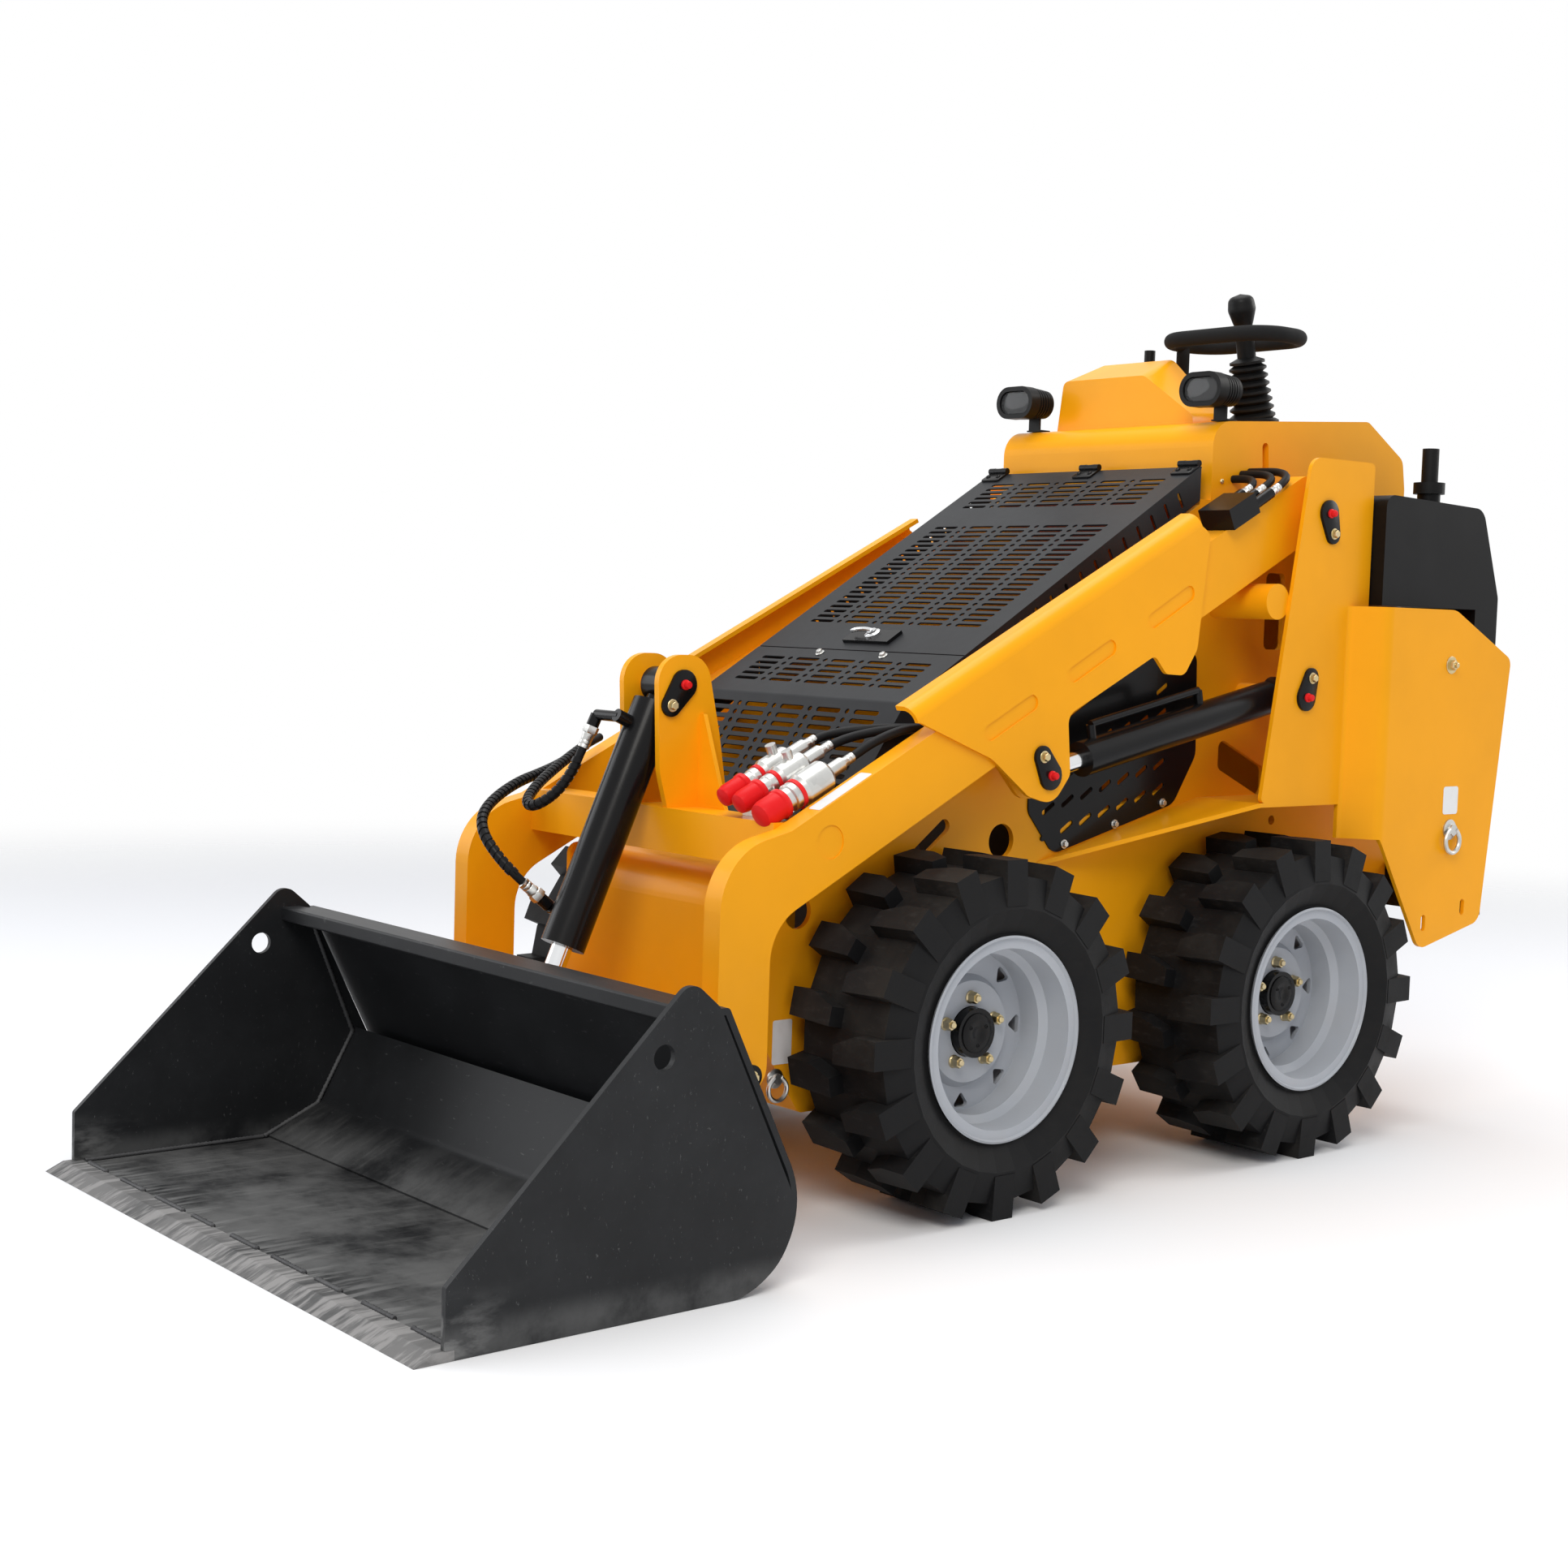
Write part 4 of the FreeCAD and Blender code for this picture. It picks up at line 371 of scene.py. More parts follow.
def hex_bolt(bm, place, way, across, height, washer=0.0, stud=0.0):
    """Hexagon head or nut with a chamfered top, on a washer where one is given."""
    radius = across / 2 / math.cos(math.pi / 6)
    foot = 0.0
    if washer:
        lathe(bm, [(0, 0), (washer, 0), (washer, 1.4), (washer - 0.6, 2.0), (0, 2.0)], place, way, 20)
        foot = 2.0
    lathe(bm, [(0, foot - 0.5), (radius, foot - 0.5), (radius, foot + height * 0.82),
               (radius * 0.86, foot + height), (0, foot + height)], place, way, 6)
    if stud:
        lathe(bm, [(0, 0), (stud, 0), (stud, foot + height + stud * 0.8), (stud * 0.75, foot + height + stud),
                   (0, foot + height + stud)], place, way, 12)


def screw(bm, place, way, radius, height):
    """Button head with a hexagon socket."""
    lathe(bm, [(0, 0), (radius, 0), (radius * 0.97, height * 0.45), (radius * 0.75, height * 0.85),
               (radius * 0.5, height), (radius * 0.42, height), (radius * 0.42, height * 0.35),
               (0, height * 0.35)], place, way, 16)


def of_kind(items, kind):
    return [item for item in items if isinstance(item, kind)]


def grow(bm, edges):
    """Extrudes a ring of edges, and gives the new verts and edges."""
    grown = bmesh.ops.extrude_edge_only(bm, edges=edges)["geom"]
    return of_kind(grown, bmesh.types.BMVert), of_kind(grown, bmesh.types.BMEdge)


def thicken(bm, face, depth, edge):
    """Gives a face a depth vector in metres, and bevels its far edge by so many millimetres."""
    pushed = bmesh.ops.extrude_face_region(bm, geom=[face], use_keep_orig=True)["geom"]
    bmesh.ops.translate(bm, verts=of_kind(pushed, bmesh.types.BMVert), vec=depth)
    if edge:
        rim = list({e for f in of_kind(pushed, bmesh.types.BMFace) for e in f.edges})
        bmesh.ops.bevel(bm, geom=rim, offset=edge * MM, offset_type="OFFSET", segments=2, profile=0.5,
                        affect="EDGES", material=-1)


def quad(place, first, second, start, end, foot, head):
    """Corners of a rectangle from its spans in millimetres along two directions."""
    return [place + first * a * MM + second * b * MM for a, b in
            ((start, foot), (end, foot), (end, head), (start, head))]


def flat_piece(bm, corners, depth, radius=0.0, edge=0.0):
    """Flat piece from its corners, with their radius in millimetres and its depth vector in metres."""
    verts = [bm.verts.new(corner) for corner in corners]
    face = bm.faces.new(verts)
    if radius:
        rounded = bmesh.ops.bevel(bm, geom=verts, offset=radius * MM, offset_type="OFFSET", segments=5,
                                  profile=0.5, affect="VERTICES", material=-1)
        faces = rounded["faces"] or {f for v in rounded["verts"] for f in v.link_faces}
        face = max(faces, key=lambda f: f.calc_area())
    thicken(bm, face, depth, edge)


def teardrop(bm, big, small, big_radius, small_radius, depth, edge=1.2):
    """Plate with two round ends of different size, each about its own place, and a depth vector."""
    way = depth.normalized()
    side = (small - big).normalized().cross(way)
    ends = []
    for centre, radius, sign in ((big, big_radius, 1), (small, small_radius, -1)):
        first = bm.verts.new(centre + side * radius * MM * sign)
        arc = bmesh.ops.spin(bm, geom=[first], cent=centre, axis=way, angle=-math.pi, steps=12)
        last = of_kind(arc["geom_last"], bmesh.types.BMVert)[0]
        ends.append((first, last))
    bm.edges.new((ends[0][1], ends[1][0]))
    bm.edges.new((ends[1][1], ends[0][0]))
    loop, vert, edge_back = [], ends[0][0], None
    while True:
        loop.append(vert)
        edge_on = [e for e in vert.link_edges if e is not edge_back][0]
        edge_back, vert = edge_on, edge_on.other_vert(vert)
        if vert is ends[0][0]:
            break
    thicken(bm, bm.faces.new(loop), depth, edge)


def bead(bm, start, end, radius, pitch, seed):
    """Rippled weld bead along a straight joint."""
    run = end - start
    steps = max(4, int(run.length / (pitch * MM)) * 2)
    ring = bmesh.ops.create_circle(bm, segments=8, radius=radius * MM, cap_ends=True,
                                   matrix=Matrix.Translation(start) @ lay_up(run.normalized()))["verts"]
    edges = list({e for v in ring for e in v.link_edges})
    for step in range(1, steps + 1):
        verts, edges = grow(bm, edges)
        middle = sum((v.co for v in verts), Vector()) / len(verts)
        place = start + run * step / steps
        swell = (1.0 if step % 2 else 0.74) + 0.22 * noise.noise(place * 160.0 + Vector((seed, 0, 0)))
        for v in verts:
            v.co = place + (v.co - middle).normalized() * radius * MM * swell
    bmesh.ops.contextual_create(bm, geom=edges)


def finished(name, bm, body, finish, sharp=38.0):
    """Closes a mesh, names it, gives it its finish and sets it on its body."""
    bmesh.ops.remove_doubles(bm, verts=bm.verts, dist=2e-6)
    bmesh.ops.recalc_face_normals(bm, faces=bm.faces)
    limit = math.radians(sharp)
    for face in bm.faces:
        face.smooth = True
    for edge in bm.edges:
        edge.smooth = len(edge.link_faces) == 2 and edge.calc_face_angle(0.0) < limit
    mesh = bpy.data.meshes.new(name)
    bm.to_mesh(mesh)
    bm.free()
    piece = bpy.data.objects.new(name, mesh)
    bpy.context.scene.collection.objects.link(piece)
    mesh.materials.append(finish)
    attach(piece, body)
    return piece


def smooth_line(name, points, resolution=12):
    """Curve with one smooth spline that has the points as its control points."""
    line = bpy.data.curves.new(name, "CURVE")
    line.dimensions = "3D"
    spline = line.splines.new("NURBS")
    spline.points.add(len(points) - 1)
    for point, place in zip(spline.points, points):
        point.co = (*place, 1.0)
    spline.order_u = 3
    spline.use_endpoint_u = True
    line.resolution_u = resolution
    return line


def line_mesh(line):
    """Mesh of a curve: a chain of points where the curve has no bevel."""
    holder = bpy.data.objects.new("line", line)
    mesh = bpy.data.meshes.new_from_object(holder)
    bpy.data.objects.remove(holder)
    return mesh


def tube(bm, points, radius, resolution=4):
    """Adds a round tube that follows a smooth line beside the control points."""
    line = smooth_line("line", points, resolution)
    line.bevel_depth = radius * MM
    line.bevel_resolution = 2
    line.use_fill_caps = True
    mesh = line_mesh(line)
    bm.from_mesh(mesh)
    bpy.data.meshes.remove(mesh)
    bpy.data.curves.remove(line)


def sticker(bm, side, place, half, foot, head, radius):
    """Blank plate on a side face: its half width, and its foot and head from a place, in millimetres."""
    way = Vector((side, 0, 0))
    corners = quad(place + way * SKIN, BACK, UP, -half, half, foot, head)
    flat_piece(bm, corners if side > 0 else corners[::-1], way * STICKER, radius)


def tie_ring(bm, place, way, foot, neck, height, seat, drop, reach, wire):
    """Turned foot on a side face, and the ring of wire that hangs from its neck, in millimetres."""
    lathe(bm, [(0, 0), (foot, 0), (foot, 3), (neck, 5), (neck, height), (0, height)], place, way, 24)
    middle = place + way * seat * MM - UP * drop * MM
    tube(bm, [middle + Vector((0, math.sin(angle), math.cos(angle))) * reach * MM
              for angle in (math.radians(20 + 40 * step) for step in range(9))], wire)


def spiral_band(bm, points, radius, pitch, width, thick, first, last):
    """Helical band round a line of points, between two distances along it in millimetres."""
    marks = [0.0]
    for here, there in zip(points, points[1:]):
        marks.append(marks[-1] + (there - here).length / MM)

    def along(distance):
        index = max([i for i, mark in enumerate(marks[:-1]) if mark <= distance], default=0)
        share = (distance - marks[index]) / max(marks[index + 1] - marks[index], 1e-9)
        return points[index].lerp(points[index + 1], share)

    def station(distance, side):
        way = (along(distance + 3) - along(distance - 3)).normalized()
        side = (side - way * side.dot(way)).normalized()
        out = Matrix.Rotation(math.tau * distance / pitch, 3, way) @ side
        turn = Matrix((out, way, out.cross(way))).transposed().to_4x4()
        return Matrix.Translation(along(distance)) @ turn, side

    place, side = station(first, Vector((0.3, 0.2, 1.0)))
    ring = bmesh.ops.create_grid(bm, x_segments=1, y_segments=1, size=0.5, matrix=place @ Matrix.Translation(
        ((radius + thick / 2) * MM, 0, 0)) @ Matrix.Diagonal((thick * MM, width * MM, 1, 1)))["verts"]
    edges = list({e for v in ring for e in v.link_edges})
    steps = int((last - first) / pitch * 14)
    for step in range(1, steps + 1):
        verts, edges = grow(bm, edges)
        next_place, side = station(first + (last - first) * step / steps, side)
        bmesh.ops.transform(bm, matrix=next_place @ place.inverted(), verts=verts)
        place = next_place
    bmesh.ops.contextual_create(bm, geom=edges)


# ---- settings -------------------------------------------------------------------------------

class LoaderSettings(bpy.types.PropertyGroup):
    yellow: bpy.props.FloatVectorProperty(name="Yellow paint", description="Colour of the painted steel",
                                          subtype="COLOR", default=(0.98, 0.405, 0.005), min=0.0, max=1.0)
    hood: bpy.props.FloatVectorProperty(name="Hood coat", description="Colour of the hood's powder coat",
                                        subtype="COLOR", default=(0.013, 0.0135, 0.015), min=0.0, max=1.0)
    floor_shade: bpy.props.FloatProperty(name="Floor shade", description="Paleness of the studio floor",
                                         default=0.90, min=0.0, max=1.0, subtype="FACTOR")
    cap_depth: bpy.props.FloatProperty(name="Pin cap depth", description="Thickness of a pin's cap plate",
                                       default=0.006, min=0.002, max=0.02, unit="LENGTH")
    stud_circle: bpy.props.FloatProperty(name="Stud circle", description="Radius on which the wheel nuts sit",
                                         default=0.057, min=0.04, max=0.09, unit="LENGTH")
    key_light: bpy.props.FloatProperty(name="Key light", description="Power of the large lamp over the machine",
                                       default=182.0, min=0.0, max=2000.0)


SHARED = {}


def finish(name):
    """A finish by its plain name, once the finishes are made."""
    if name not in SHARED:
        raise RuntimeError("the finishes have to be made before %s is used" % name)
    return SHARED[name]


def both_sides():
    """1 for the machine's left and -1 for its right."""
    return (1, -1)


# ---- pieces ---------------------------------------------------------------------------------

class LOADER_OT_finishes(bpy.types.Operator):
    """Gives every carried-over CAD part its finish"""
    bl_idname = "loader.finishes"
    bl_label = "Finishes"

    def execute(self, context):
        SHARED.clear()
        SHARED.update(make_finishes(context.scene.loader))
        slots = {part["node"]: part["material_slot"] for part in frame["record"]["subparts"]}
        for name, node_object in frame["nodes"].items():
            if slots.get(name) not in SHARED:
                raise RuntimeError("no finish for %s" % name)
            materials = node_object.data.materials
            materials.clear()
            materials.append(SHARED[slots[name]])
        return {"FINISHED"}


class LOADER_OT_pin_caps(bpy.types.Operator):
    """Adds the black cap plates with their bolts and red grease caps at the pins"""
    bl_idname = "loader.pin_caps"
    bl_label = "Pin caps"

    def execute(self, context):
        depth = context.scene.loader.cap_depth
        # Columns: name, body, outer face x, pin y and z, bolt y and z.
        table = [("arm_pin", "chassis", 420, 864, 1181, 877, 1144),
                 ("lift_base", "chassis", 420, 821, 841, 833, 877),
                 ("lift_lug", "arms", 386, 186, 707, 166, 739),
                 ("ear_pin", "arms", 55, -341, 843, -366, 809),
                 ("bucket_pin", "bucket", 393, -478, 258, -448, 262)]
        for name, body, x, pin_y, pin_z, bolt_y, bolt_z in table:
            plates, bolts, reds = bmesh.new(), bmesh.new(), bmesh.new()
            for side in both_sides():
                way = Vector((side, 0, 0))
                pin, fixing = spot(side * x, pin_y, pin_z), spot(side * x, bolt_y, bolt_z)
                teardrop(plates, pin, fixing, 25, 19, way * depth)
                top = way * (depth - SKIN)
                hex_bolt(bolts, fixing + top, way, 13, 7, 10.5)
                lathe(reds, [(0, 0), (8.5, 0), (8.5, 3), (6.5, 4.5), (6.5, 10), (5.2, 12.5), (0, 13.2)],
                      pin + top, way, 20)
            finished(name + "_cap_plates", plates, body, finish("black_paint"))
            finished(name + "_cap_bolts", bolts, body, finish("gold_zinc"))
            finished(name + "_grease_caps", reds, body, finish("red_cap"))
        return {"FINISHED"}


class LOADER_OT_wheel_fittings(bpy.types.Operator):
    """Adds the wheel nuts, stud ends and hub caps"""
    bl_idname = "loader.wheel_fittings"
    bl_label = "Wheel nuts"

    def execute(self, context):
        circle = context.scene.loader.stud_circle
        for corner, side, back in (("front_left", 1, 0), ("front_right", -1, 0),
                                   ("rear_left", 1, WHEELBASE), ("rear_right", -1, WHEELBASE)):
            nuts, hub = bmesh.new(), bmesh.new()
            way = Vector((side, 0, 0))
            centre = spot(side * STUD_FACE, back, AXLE_Z)
            for number in range(5):
                place = centre + slope_way(90 + 72 * number) * circle
                lathe(nuts, [(0, -0.5), (11, -0.5), (11, 1.5), (9, 3.5), (0, 3.5)], place, way, 18)
                hex_bolt(nuts, place + way * 3 * MM, way, 17, 13, 0.0, 5.5)
            lathe(hub, [(0, 17.8), (33, 17.8), (33, 20), (30, 22), (12, 22), (10, 20.5), (0, 20.5)],
                  centre, way, 32)
            for number in range(3):
                place = centre + way * 21.5 * MM + slope_way(30 + 120 * number) * 20 * MM
                screw(hub, place, way, 3.4, 2.4)
            finished("wheel_nuts_" + corner, nuts, "wheel_" + corner, finish("gold_zinc"))
            finished("hub_cap_" + corner, hub, "chassis", finish("black_paint"))
        return {"FINISHED"}


class LOADER_OT_panel_bolts(bpy.types.Operator):
    """Adds the bolts of the side guards and rear panels, and the rear tie rings with their blank plates"""
    bl_idname = "loader.panel_bolts"
    bl_label = "Panel bolts"

    def execute(self, context):
        zinc, gold, ring, decals = (bmesh.new() for _ in range(4))
        for side in both_sides():
            way = Vector((side, 0, 0))
            for y, z in ((346, 574), (476, 605), (604, 640), (290, 700), (655, 905)):
                hex_bolt(zinc, spot(side * GUARD_SIDE, y, z), way, 10, 5, 8.5)
            hex_bolt(gold, spot(side * PANEL_SIDE, 1190, 907), way, 17, 9, 17, 5)
            for y, z in ((735, 1236), (800, 1200)):
                screw(gold, spot(side * CHASSIS_SIDE, y, z), way, 5, 3)
            centre = spot(side * PANEL_SIDE, 1210, 588)
            tie_ring(ring, centre, way, 20, 11, 12, 10, 22, 24, 4.5)
            sticker(decals, side, centre, 24, 30, 84, 6)
        finished("panel_bolts", zinc, "chassis", finish("zinc"))
        finished("panel_gold_bolts", gold, "chassis", finish("gold_zinc"))
        finished("tie_rings_rear", ring, "chassis", finish("zinc"))
        finished("tie_ring_decals_rear", decals, "chassis", finish("decal"))
        return {"FINISHED"}


class LOADER_OT_bucket_welds(bpy.types.Operator):
    """Adds the weld beads inside the bucket and along its cutting edge"""
    bl_idname = "loader.bucket_welds"
    bl_label = "Bucket welds"

    def execute(self, context):
        seams = bmesh.new()
        for side in both_sides():
            x = side * 588
            path = [(-1084, 13), (-756, 14), (-652, 62), (-584, 186), (-672, 400)]
            for number, (first, last) in enumerate(zip(path, path[1:])):
                bead(seams, spot(x, *first), spot(x, *last), 4.0, 7.0, number + side)
        for number in range(9):
            x = -560 + number * 132
            bead(seams, spot(x, -1087, 14.5), spot(x + 70 + 14 * (number % 3), -1087, 14.5), 4.5, 7.0, number)
        finished("bucket_weld_beads", seams, "bucket", finish("weld_bead"), 80.0)
        return {"FINISHED"}


# Columns: name, body, length of the tube in metres, whether it has a spiral wrap, route in machine millimetres.
HOSES = [
    ("coupler_hose_1", "arms", 0.199, False,
     [(312, -215, 728), (312, -190, 740.2), (318, -155, 762), (326, -112, 780),
      (329, -68, 787), (329, -30, 787)]),
    ("coupler_hose_2", "arms", 0.204, False,
     [(262, -219, 744), (262, -192, 757.2), (272, -150, 771), (296, -108, 781),
      (310, -66, 785), (310, -30, 785)]),
    ("coupler_hose_3", "arms", 0.212, False,
     [(222, -219, 751), (222, -192, 764.2), (236, -152, 775), (272, -110, 782),
      (291, -66, 784), (291, -30, 784)]),
    ("root_hose_1", "arms", 0.179, False,
     [(387, 734, 1212), (387, 766, 1229), (376, 796, 1246), (346, 812, 1256),
      (308, 814, 1258), (272.3, 814, 1258)]),
    ("root_hose_2", "arms", 0.151, False,
     [(362, 722, 1210), (362, 758, 1229), (352, 782, 1242), (330, 790, 1250),
      (302, 791, 1252), (272.3, 791, 1252)]),
    ("root_hose_3", "arms", 0.110, False,
     [(338, 714, 1210), (338, 738, 1223), (330, 756, 1234), (314, 765, 1240),
      (294, 767, 1242), (272.3, 767, 1242)]),
    ("tilt_hose_upper", "tilt_barrel", 0.528, True,
     [(-72, -438, 756), (-78, -450, 722), (-86, -464, 686), (-100, -486, 652),
      (-130, -507, 630), (-165, -500, 636),
      (-205, -452, 660), (-250, -385, 684), (-290, -320, 706), (-318, -270, 722), (-337.7, -230, 732)]),
    ("tilt_hose_lower", "tilt_barrel", 0.537, True,
     [(-70, -541, 496), (-80, -569, 522), (-105, -590, 554), (-135, -600, 588),
      (-165, -586, 616), (-200, -540, 640),
      (-235, -470, 664), (-270, -398, 676), (-306, -330, 690), (-337.7, -280, 704)]),
]


# Radii of the quick couplers' bodies, in the order of the first three hoses.
COUPLER_RADII = (27, 21, 20)
# Crimp sleeve of a wrapped hose as (radius, height), and its share of that radius on a bare hose.
CRIMP = [(10.8, 0), (10.8, 4), (9.8, 6), (9.8, 11), (9.2, 12), (9.8, 13), (9.8, 18), (9.2, 19), (9.8, 20),
         (9.8, 25)]
BARE_CRIMP = 0.85


class LOADER_OT_hoses(bpy.types.Operator):
    """Replaces the CAD hoses with smooth ones, each with a crimp and two with a spiral wrap"""
    bl_idname = "loader.hoses"
    bl_label = "Hoses"

    def execute(self, context):
        for name, body, length, wrapped, route in HOSES:
            points = [spot(*point) for point in route]
            line = smooth_line(name + "_line", points)
            bare = line_mesh(line)
            chain = [vert.co.copy() for vert in bare.vertices]
            bpy.data.meshes.remove(bare)
            line.bevel_depth = HOSE_RADIUS * MM
            line.bevel_resolution = 3
            line.use_fill_caps = True
            line.materials.append(finish("hose_rubber"))
            hose = bpy.data.objects.new(name + "_smooth", line)
            context.scene.collection.objects.link(hose)
            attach(hose, body)
            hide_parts(name)
            if wrapped:
                wrap = bmesh.new()
                spiral_band(wrap, chain, 7.3, 12.0, 8.6, 2.0, 46.0, length / MM - 60.0)
                finished(name + "_wrap", wrap, body, finish("spring_guard"))
            crimp = bmesh.new()
            way = (points[1] - points[0]).normalized()
            size = 1.0 if wrapped else BARE_CRIMP
            lathe(crimp, [(7.2, 0), *((radius * size, height) for radius, height in CRIMP), (7.2, 26)],
                  points[0], way, 24)
            if wrapped:
                hex_bolt(crimp, points[0] - way * 13 * MM, way, 23, 13)
            finished(name + "_crimp", crimp, body, finish("zinc"))
        return {"FINISHED"}


class LOADER_OT_coupler_caps(bpy.types.Operator):
    """Adds the red dust caps with their straps to the quick couplers"""
    bl_idname = "loader.coupler_caps"
    bl_label = "Coupler caps"

    def execute(self, context):
        caps = bmesh.new()
        for (*_, route), radius in zip(HOSES, COUPLER_RADII):
            start = spot(*route[0])
            way = (start - spot(*route[1])).normalized()
            cap, collar = radius * 0.74 + 3.5, radius - 4
            lathe(caps, [(0, 132), (cap, 132), (cap + 1.5, 134), (cap + 1.5, 141), (cap - 0.5, 143.5),
                         (cap - 0.5, 172), (cap - 3, 181), (cap * 0.55, 184), (0, 184.5)], start, way, 28)
            lathe(caps, [(collar - 1, 99), (collar + 1.8, 99.5), (collar + 1.8, 106.5), (collar - 1, 107)],
                  start, way, 28)
            down = Vector((0.25, 0, -1))
            down = (down - way * down.dot(way)).normalized()
            strap = [(103, collar + 1), (104, collar + 9), (112, collar + 15), (126, cap + 10),
                     (134, cap + 7), (138, cap)]
            tube(caps, [start + way * along * MM + down * drop * MM for along, drop in strap], 2.6, 6)
        finished("coupler_dust_caps", caps, "arms", finish("red_cap"))
        return {"FINISHED"}


def hood_top(x, y):
    """Place on the hood's sloping sheet at a machine place x and y in millimetres."""
    return spot(x, y, SEAM_Z + (y - SEAM_Y) * (HINGE_Z - SEAM_Z) / (HINGE_Y - SEAM_Y))


class LOADER_OT_hood_fittings(bpy.types.Operator):
    """Adds the hood's hinges, its latch handle and the two bolts in front of it"""
    bl_idname = "loader.hood_fittings"
    bl_label = "Hood fittings"

    def execute(self, context):
        slope = math.degrees(math.atan2(HINGE_Z - SEAM_Z, HINGE_Y - SEAM_Y))
        along, up = slope_way(slope), slope_way(slope + 90)
        leaves, latch, bolts = bmesh.new(), bmesh.new(), bmesh.new()
        for x in (-248, 0, 248):
            axis = spot(x, HINGE_Y, HINGE_Z)
            flat_piece(leaves, quad(axis + up * SKIN, LEFT, along, -24, 24, -40, -7), up * 4 * MM, 5, 0.8)
            lathe(leaves, [(0, 0), (6.5, 0), (6.5, 15), (6.0, 15.5), (6.0, 32.5), (6.5, 33), (6.5, 48),
                           (0, 48)], axis - LEFT * 24 * MM - along * 6 * MM + up * 6 * MM, LEFT, 20)
            for across in (-14, 14):
                screw(leaves, axis + LEFT * across * MM - along * 26 * MM + up * 4.2 * MM, up, 5, 3)
        base = hood_top(0, 125) + up * 6.2 * MM
        lathe(latch, [(0, 0), (15, 0), (15, 3), (12, 4.5), (9, 5), (9, 8), (0, 8)], base, up, 28)
        # Handle's line from the latch's middle: to the left, up the hood and off it, in millimetres.
        handle = [(0, 0, 8), (-8, -1, 11), (-22, -3, 12), (-40, -5, 11), (-46, -5, 9)]
        tube(latch, [base + LEFT * x * MM + along * run * MM + up * lift * MM for x, run, lift in handle],
             4.0, 6)
        for side in both_sides():
            hex_bolt(bolts, hood_top(-85 * side, 72) + up * SKIN, up, 10, 5, 8.5)
        finished("hood_hinge_leaves", leaves, "hood_door", finish("black_paint"))
        finished("hood_latch_handle", latch, "hood_door", finish("chrome_rod"))
        finished("hood_front_bolts", bolts, "chassis", finish("zinc"))
        return {"FINISHED"}


class LOADER_OT_lenses(bpy.types.Operator):
    """Adds the glasses in front of the lamps"""
    bl_idname = "loader.lenses"
    bl_label = "Lamp glasses"

    def execute(self, context):
        glass = bmesh.new()
        for side in both_sides():
            flat_piece(glass, quad(spot(side * 241, 706.4, 1405), LEFT, UP, -40, 40, -22, 22),
                       BACK * -4 * MM, 9, 0.8)
        finished("lamp_lenses", glass, "chassis", finish("lamp_glass"))
        return {"FINISHED"}


class LOADER_OT_decals(bpy.types.Operator):
    """Adds the blank plates on the left arm and the nose, and the front tie rings"""
    bl_idname = "loader.decals"
    bl_label = "Blank plates"

    def execute(self, context):
        arm, nose, rings = bmesh.new(), bmesh.new(), bmesh.new()
        along, up = slope_way(ARM_SLOPE), slope_way(ARM_SLOPE + 90)
        top = spot(360, ARM_Y, ARM_Z) + up * ARM_DEPTH * MM + up * SKIN
        flat_piece(arm, quad(top, LEFT, -along, -14, 14, 360, 240)[::-1], up * STICKER, 4)
        for side in both_sides():
            way = Vector((side, 0, 0))
            sticker(nose, side, spot(side * CHASSIS_SIDE, -287, 280), 20, -36, 36, 4)
            tie_ring(rings, spot(side * CHASSIS_SIDE, -300, 222), way, 16, 9, 11, 9, 16, 20, 3.8)
        finished("arm_blank_plate", arm, "arms", finish("decal"))
        finished("nose_blank_plates", nose, "chassis", finish("decal"))
        finished("tie_rings_front", rings, "chassis", finish("zinc"))
        return {"FINISHED"}


# ---- stage ----------------------------------------------------------------------------------

def lay_floor(collection, shade):
    """Round pale floor that fades out before its edge."""
    pale, soiled = (shade, shade, shade), (shade * 0.985, shade * 0.985, shade * 0.98)
    floor = Finish("studio_floor", pale, 0.75, Specular_IOR_Level=0.15)
    x, y = floor.axis("X"), floor.axis("Y")
    reach = (x * x + y * y) ** 0.5
    floor.drive("Alpha", 1 - reach.band(3.0, 6.5))
    floor.drive("Base Color", floor.blend(floor.noise(2.0, 3.0) * 0.3, pale, soiled))
    bm = bmesh.new()
    bmesh.ops.create_grid(bm, x_segments=1, y_segments=1, size=9.0,
                          matrix=Matrix.Translation((0, 0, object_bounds()[0][2] - 0.0004)))
    mesh = bpy.data.meshes.new("studio_floor")
    bm.to_mesh(mesh)
    bm.free()
    ground = bpy.data.objects.new("studio_floor", mesh)
    collection.objects.link(ground)
    mesh.materials.append(floor.material)
    ground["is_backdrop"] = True


def surround(scene):
    """Soft cool light all round, and white to the camera, in mirrors and through glass."""
    world = bpy.data.worlds.new("studio_surroundings")
    world.use_nodes = True
    scene.world = world
    nodes, links = world.node_tree.nodes, world.node_tree.links
    nodes.clear()
    path, mix = nodes.new("ShaderNodeLightPath"), nodes.new("ShaderNodeMixShader")
    seen = path.outputs["Is Camera Ray"]
    for ray in ("Is Glossy Ray", "Is Transmission Ray"):
        either = nodes.new("ShaderNodeMath")
        either.operation = "MAXIMUM"
        links.new(seen, either.inputs[0])
        links.new(path.outputs[ray], either.inputs[1])
        seen = either.outputs[0]
    links.new(seen, mix.inputs["Fac"])
    for slot, colour, strength in ((1, (0.86, 0.90, 1.0), 0.50), (2, (1.0, 1.0, 1.0), 1.0)):
        sky = nodes.new("ShaderNodeBackground")
        sky.inputs["Color"].default_value = (*colour, 1.0)
        sky.inputs["Strength"].default_value = strength
        links.new(sky.outputs[0], mix.inputs[slot])
    links.new(mix.outputs[0], nodes.new("ShaderNodeOutputWorld").inputs["Surface"])


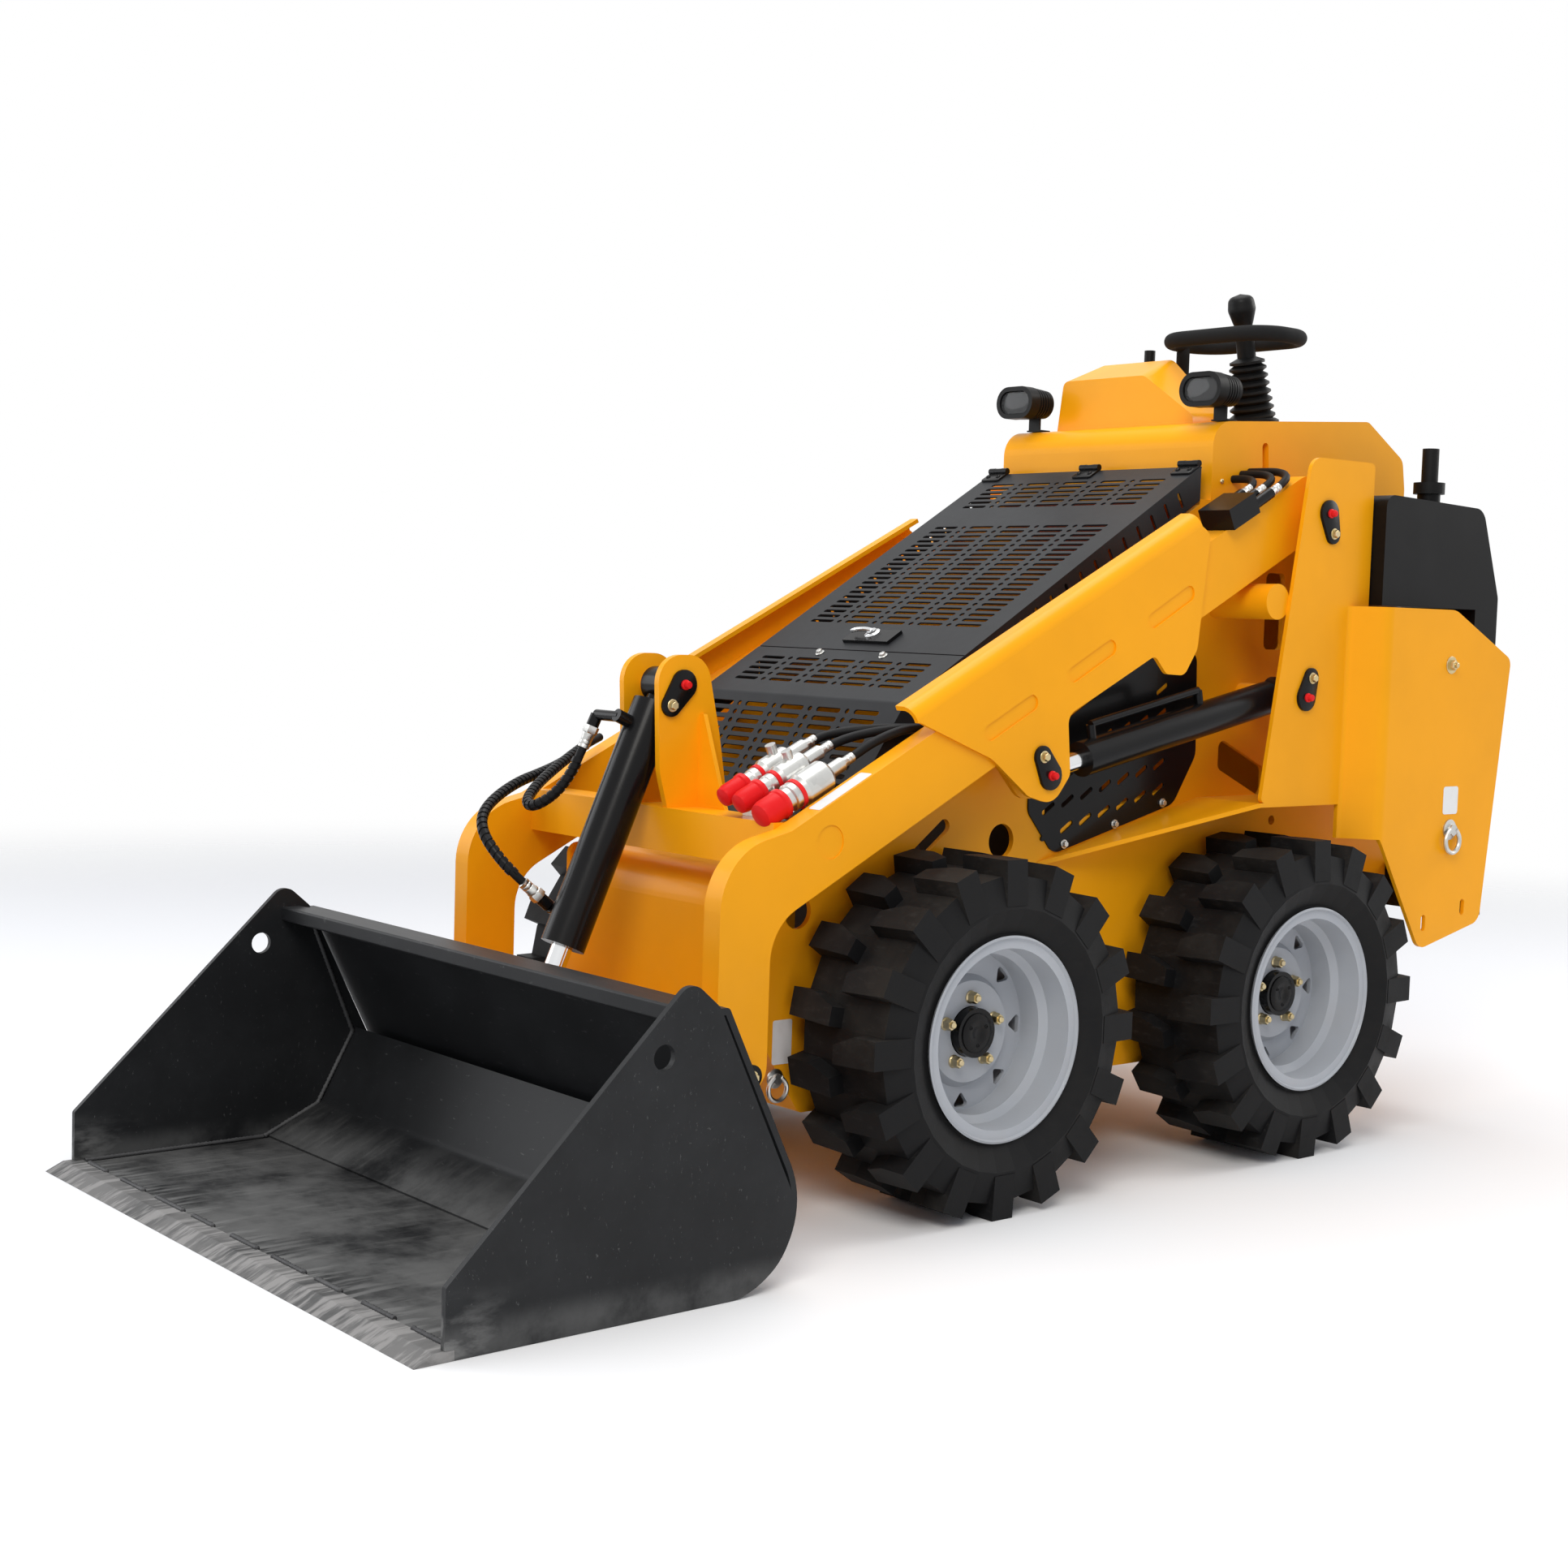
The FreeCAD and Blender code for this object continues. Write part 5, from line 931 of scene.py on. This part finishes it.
def hang_lamps(collection, power):
    """Round area lamps, each pointed at the machine."""
    # Columns: name, place, target, size, power as a share of the key light, colour.
    lamps = [("key", (3.2, -3.6, 4.6), (0, 0, 0.7), 3.0, 1.0, (1.0, 0.97, 0.92)),
             ("sky", (-0.5, 0.5, 5.5), (0, 0, 0.6), 4.0, 0.75, (1.0, 1.0, 1.0)),
             ("fill", (-4.2, -3.0, 2.2), (0, 0, 0.6), 3.0, 0.30, (0.95, 0.97, 1.0)),
             ("back", (1.5, 4.8, 3.2), (0, 0, 0.8), 3.0, 0.45, (1.0, 0.98, 0.95))]
    for name, place, target, size, share, colour in lamps:
        light = bpy.data.lights.new(name, "AREA")
        light.shape = "DISK"
        light.size = size
        light.energy = power * share
        light.color = colour
        lamp = bpy.data.objects.new(name + "_lamp", light)
        aim = (-UP).rotation_difference(Vector(target) - Vector(place)).to_matrix().to_4x4()
        lamp.matrix_world = Matrix.Translation(place) @ aim
        collection.objects.link(lamp)


def set_camera(scene):
    """Camera of the photograph, as solved from the wheels, the bucket and the arm."""
    azimuth, elevation, roll = (math.radians(a) for a in (50.31, 4.22, 1.81))
    back = Vector((math.sin(azimuth) * math.cos(elevation), -math.cos(azimuth) * math.cos(elevation),
                   math.sin(elevation)))
    right = Vector((math.cos(azimuth), math.sin(azimuth), 0))
    up = right.cross(-back)
    turned_right = right * math.cos(roll) + up * math.sin(roll)
    turned_up = up * math.cos(roll) - right * math.sin(roll)
    view = bpy.data.cameras.new("photo_view")
    view.sensor_width = 36.0
    view.lens = 51.93
    camera = bpy.data.objects.new("photo_camera", view)
    camera.matrix_world = Matrix.Translation((3.025, -2.7065, 0.959)) @ Matrix(
        (turned_right, turned_up, back)).transposed().to_4x4()
    scene.collection.objects.link(camera)
    scene.camera = camera


class LOADER_OT_stage(bpy.types.Operator):
    """Adds the pale floor, the studio lamps, the surroundings and the camera"""
    bl_idname = "loader.stage"
    bl_label = "Stage"

    def execute(self, context):
        scene, settings = context.scene, context.scene.loader
        lay_floor(scene.collection, settings.floor_shade)
        surround(scene)
        hang_lamps(scene.collection, settings.key_light)
        set_camera(scene)
        scene.view_settings.view_transform = "Standard"
        return {"FINISHED"}


class LOADER_PT_panel(bpy.types.Panel):
    bl_idname = "LOADER_PT_panel"
    bl_label = "Skid Steer Loader"
    bl_space_type = "VIEW_3D"
    bl_region_type = "UI"
    bl_category = "Loader"

    def draw(self, context):
        for name in LoaderSettings.__annotations__:
            self.layout.prop(context.scene.loader, name)
        for operator in OPERATORS:
            self.layout.operator(operator.bl_idname)


OPERATORS = (LOADER_OT_stage, LOADER_OT_finishes, LOADER_OT_hoses, LOADER_OT_coupler_caps, LOADER_OT_pin_caps,
             LOADER_OT_wheel_fittings, LOADER_OT_panel_bolts, LOADER_OT_bucket_welds, LOADER_OT_hood_fittings,
             LOADER_OT_lenses, LOADER_OT_decals)
CLASSES = (LoaderSettings, *OPERATORS, LOADER_PT_panel)


def register():
    for kind in CLASSES:
        bpy.utils.register_class(kind)
    bpy.types.Scene.loader = bpy.props.PointerProperty(type=LoaderSettings)


def unregister():
    del bpy.types.Scene.loader
    for kind in reversed(CLASSES):
        bpy.utils.unregister_class(kind)


def main():
    """Registers the add-on and makes every piece in order."""
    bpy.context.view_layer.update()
    register()
    for operator in OPERATORS:
        group, name = operator.bl_idname.split(".")
        getattr(getattr(bpy.ops, group), name)()


if __name__ == "__main__":
    main()
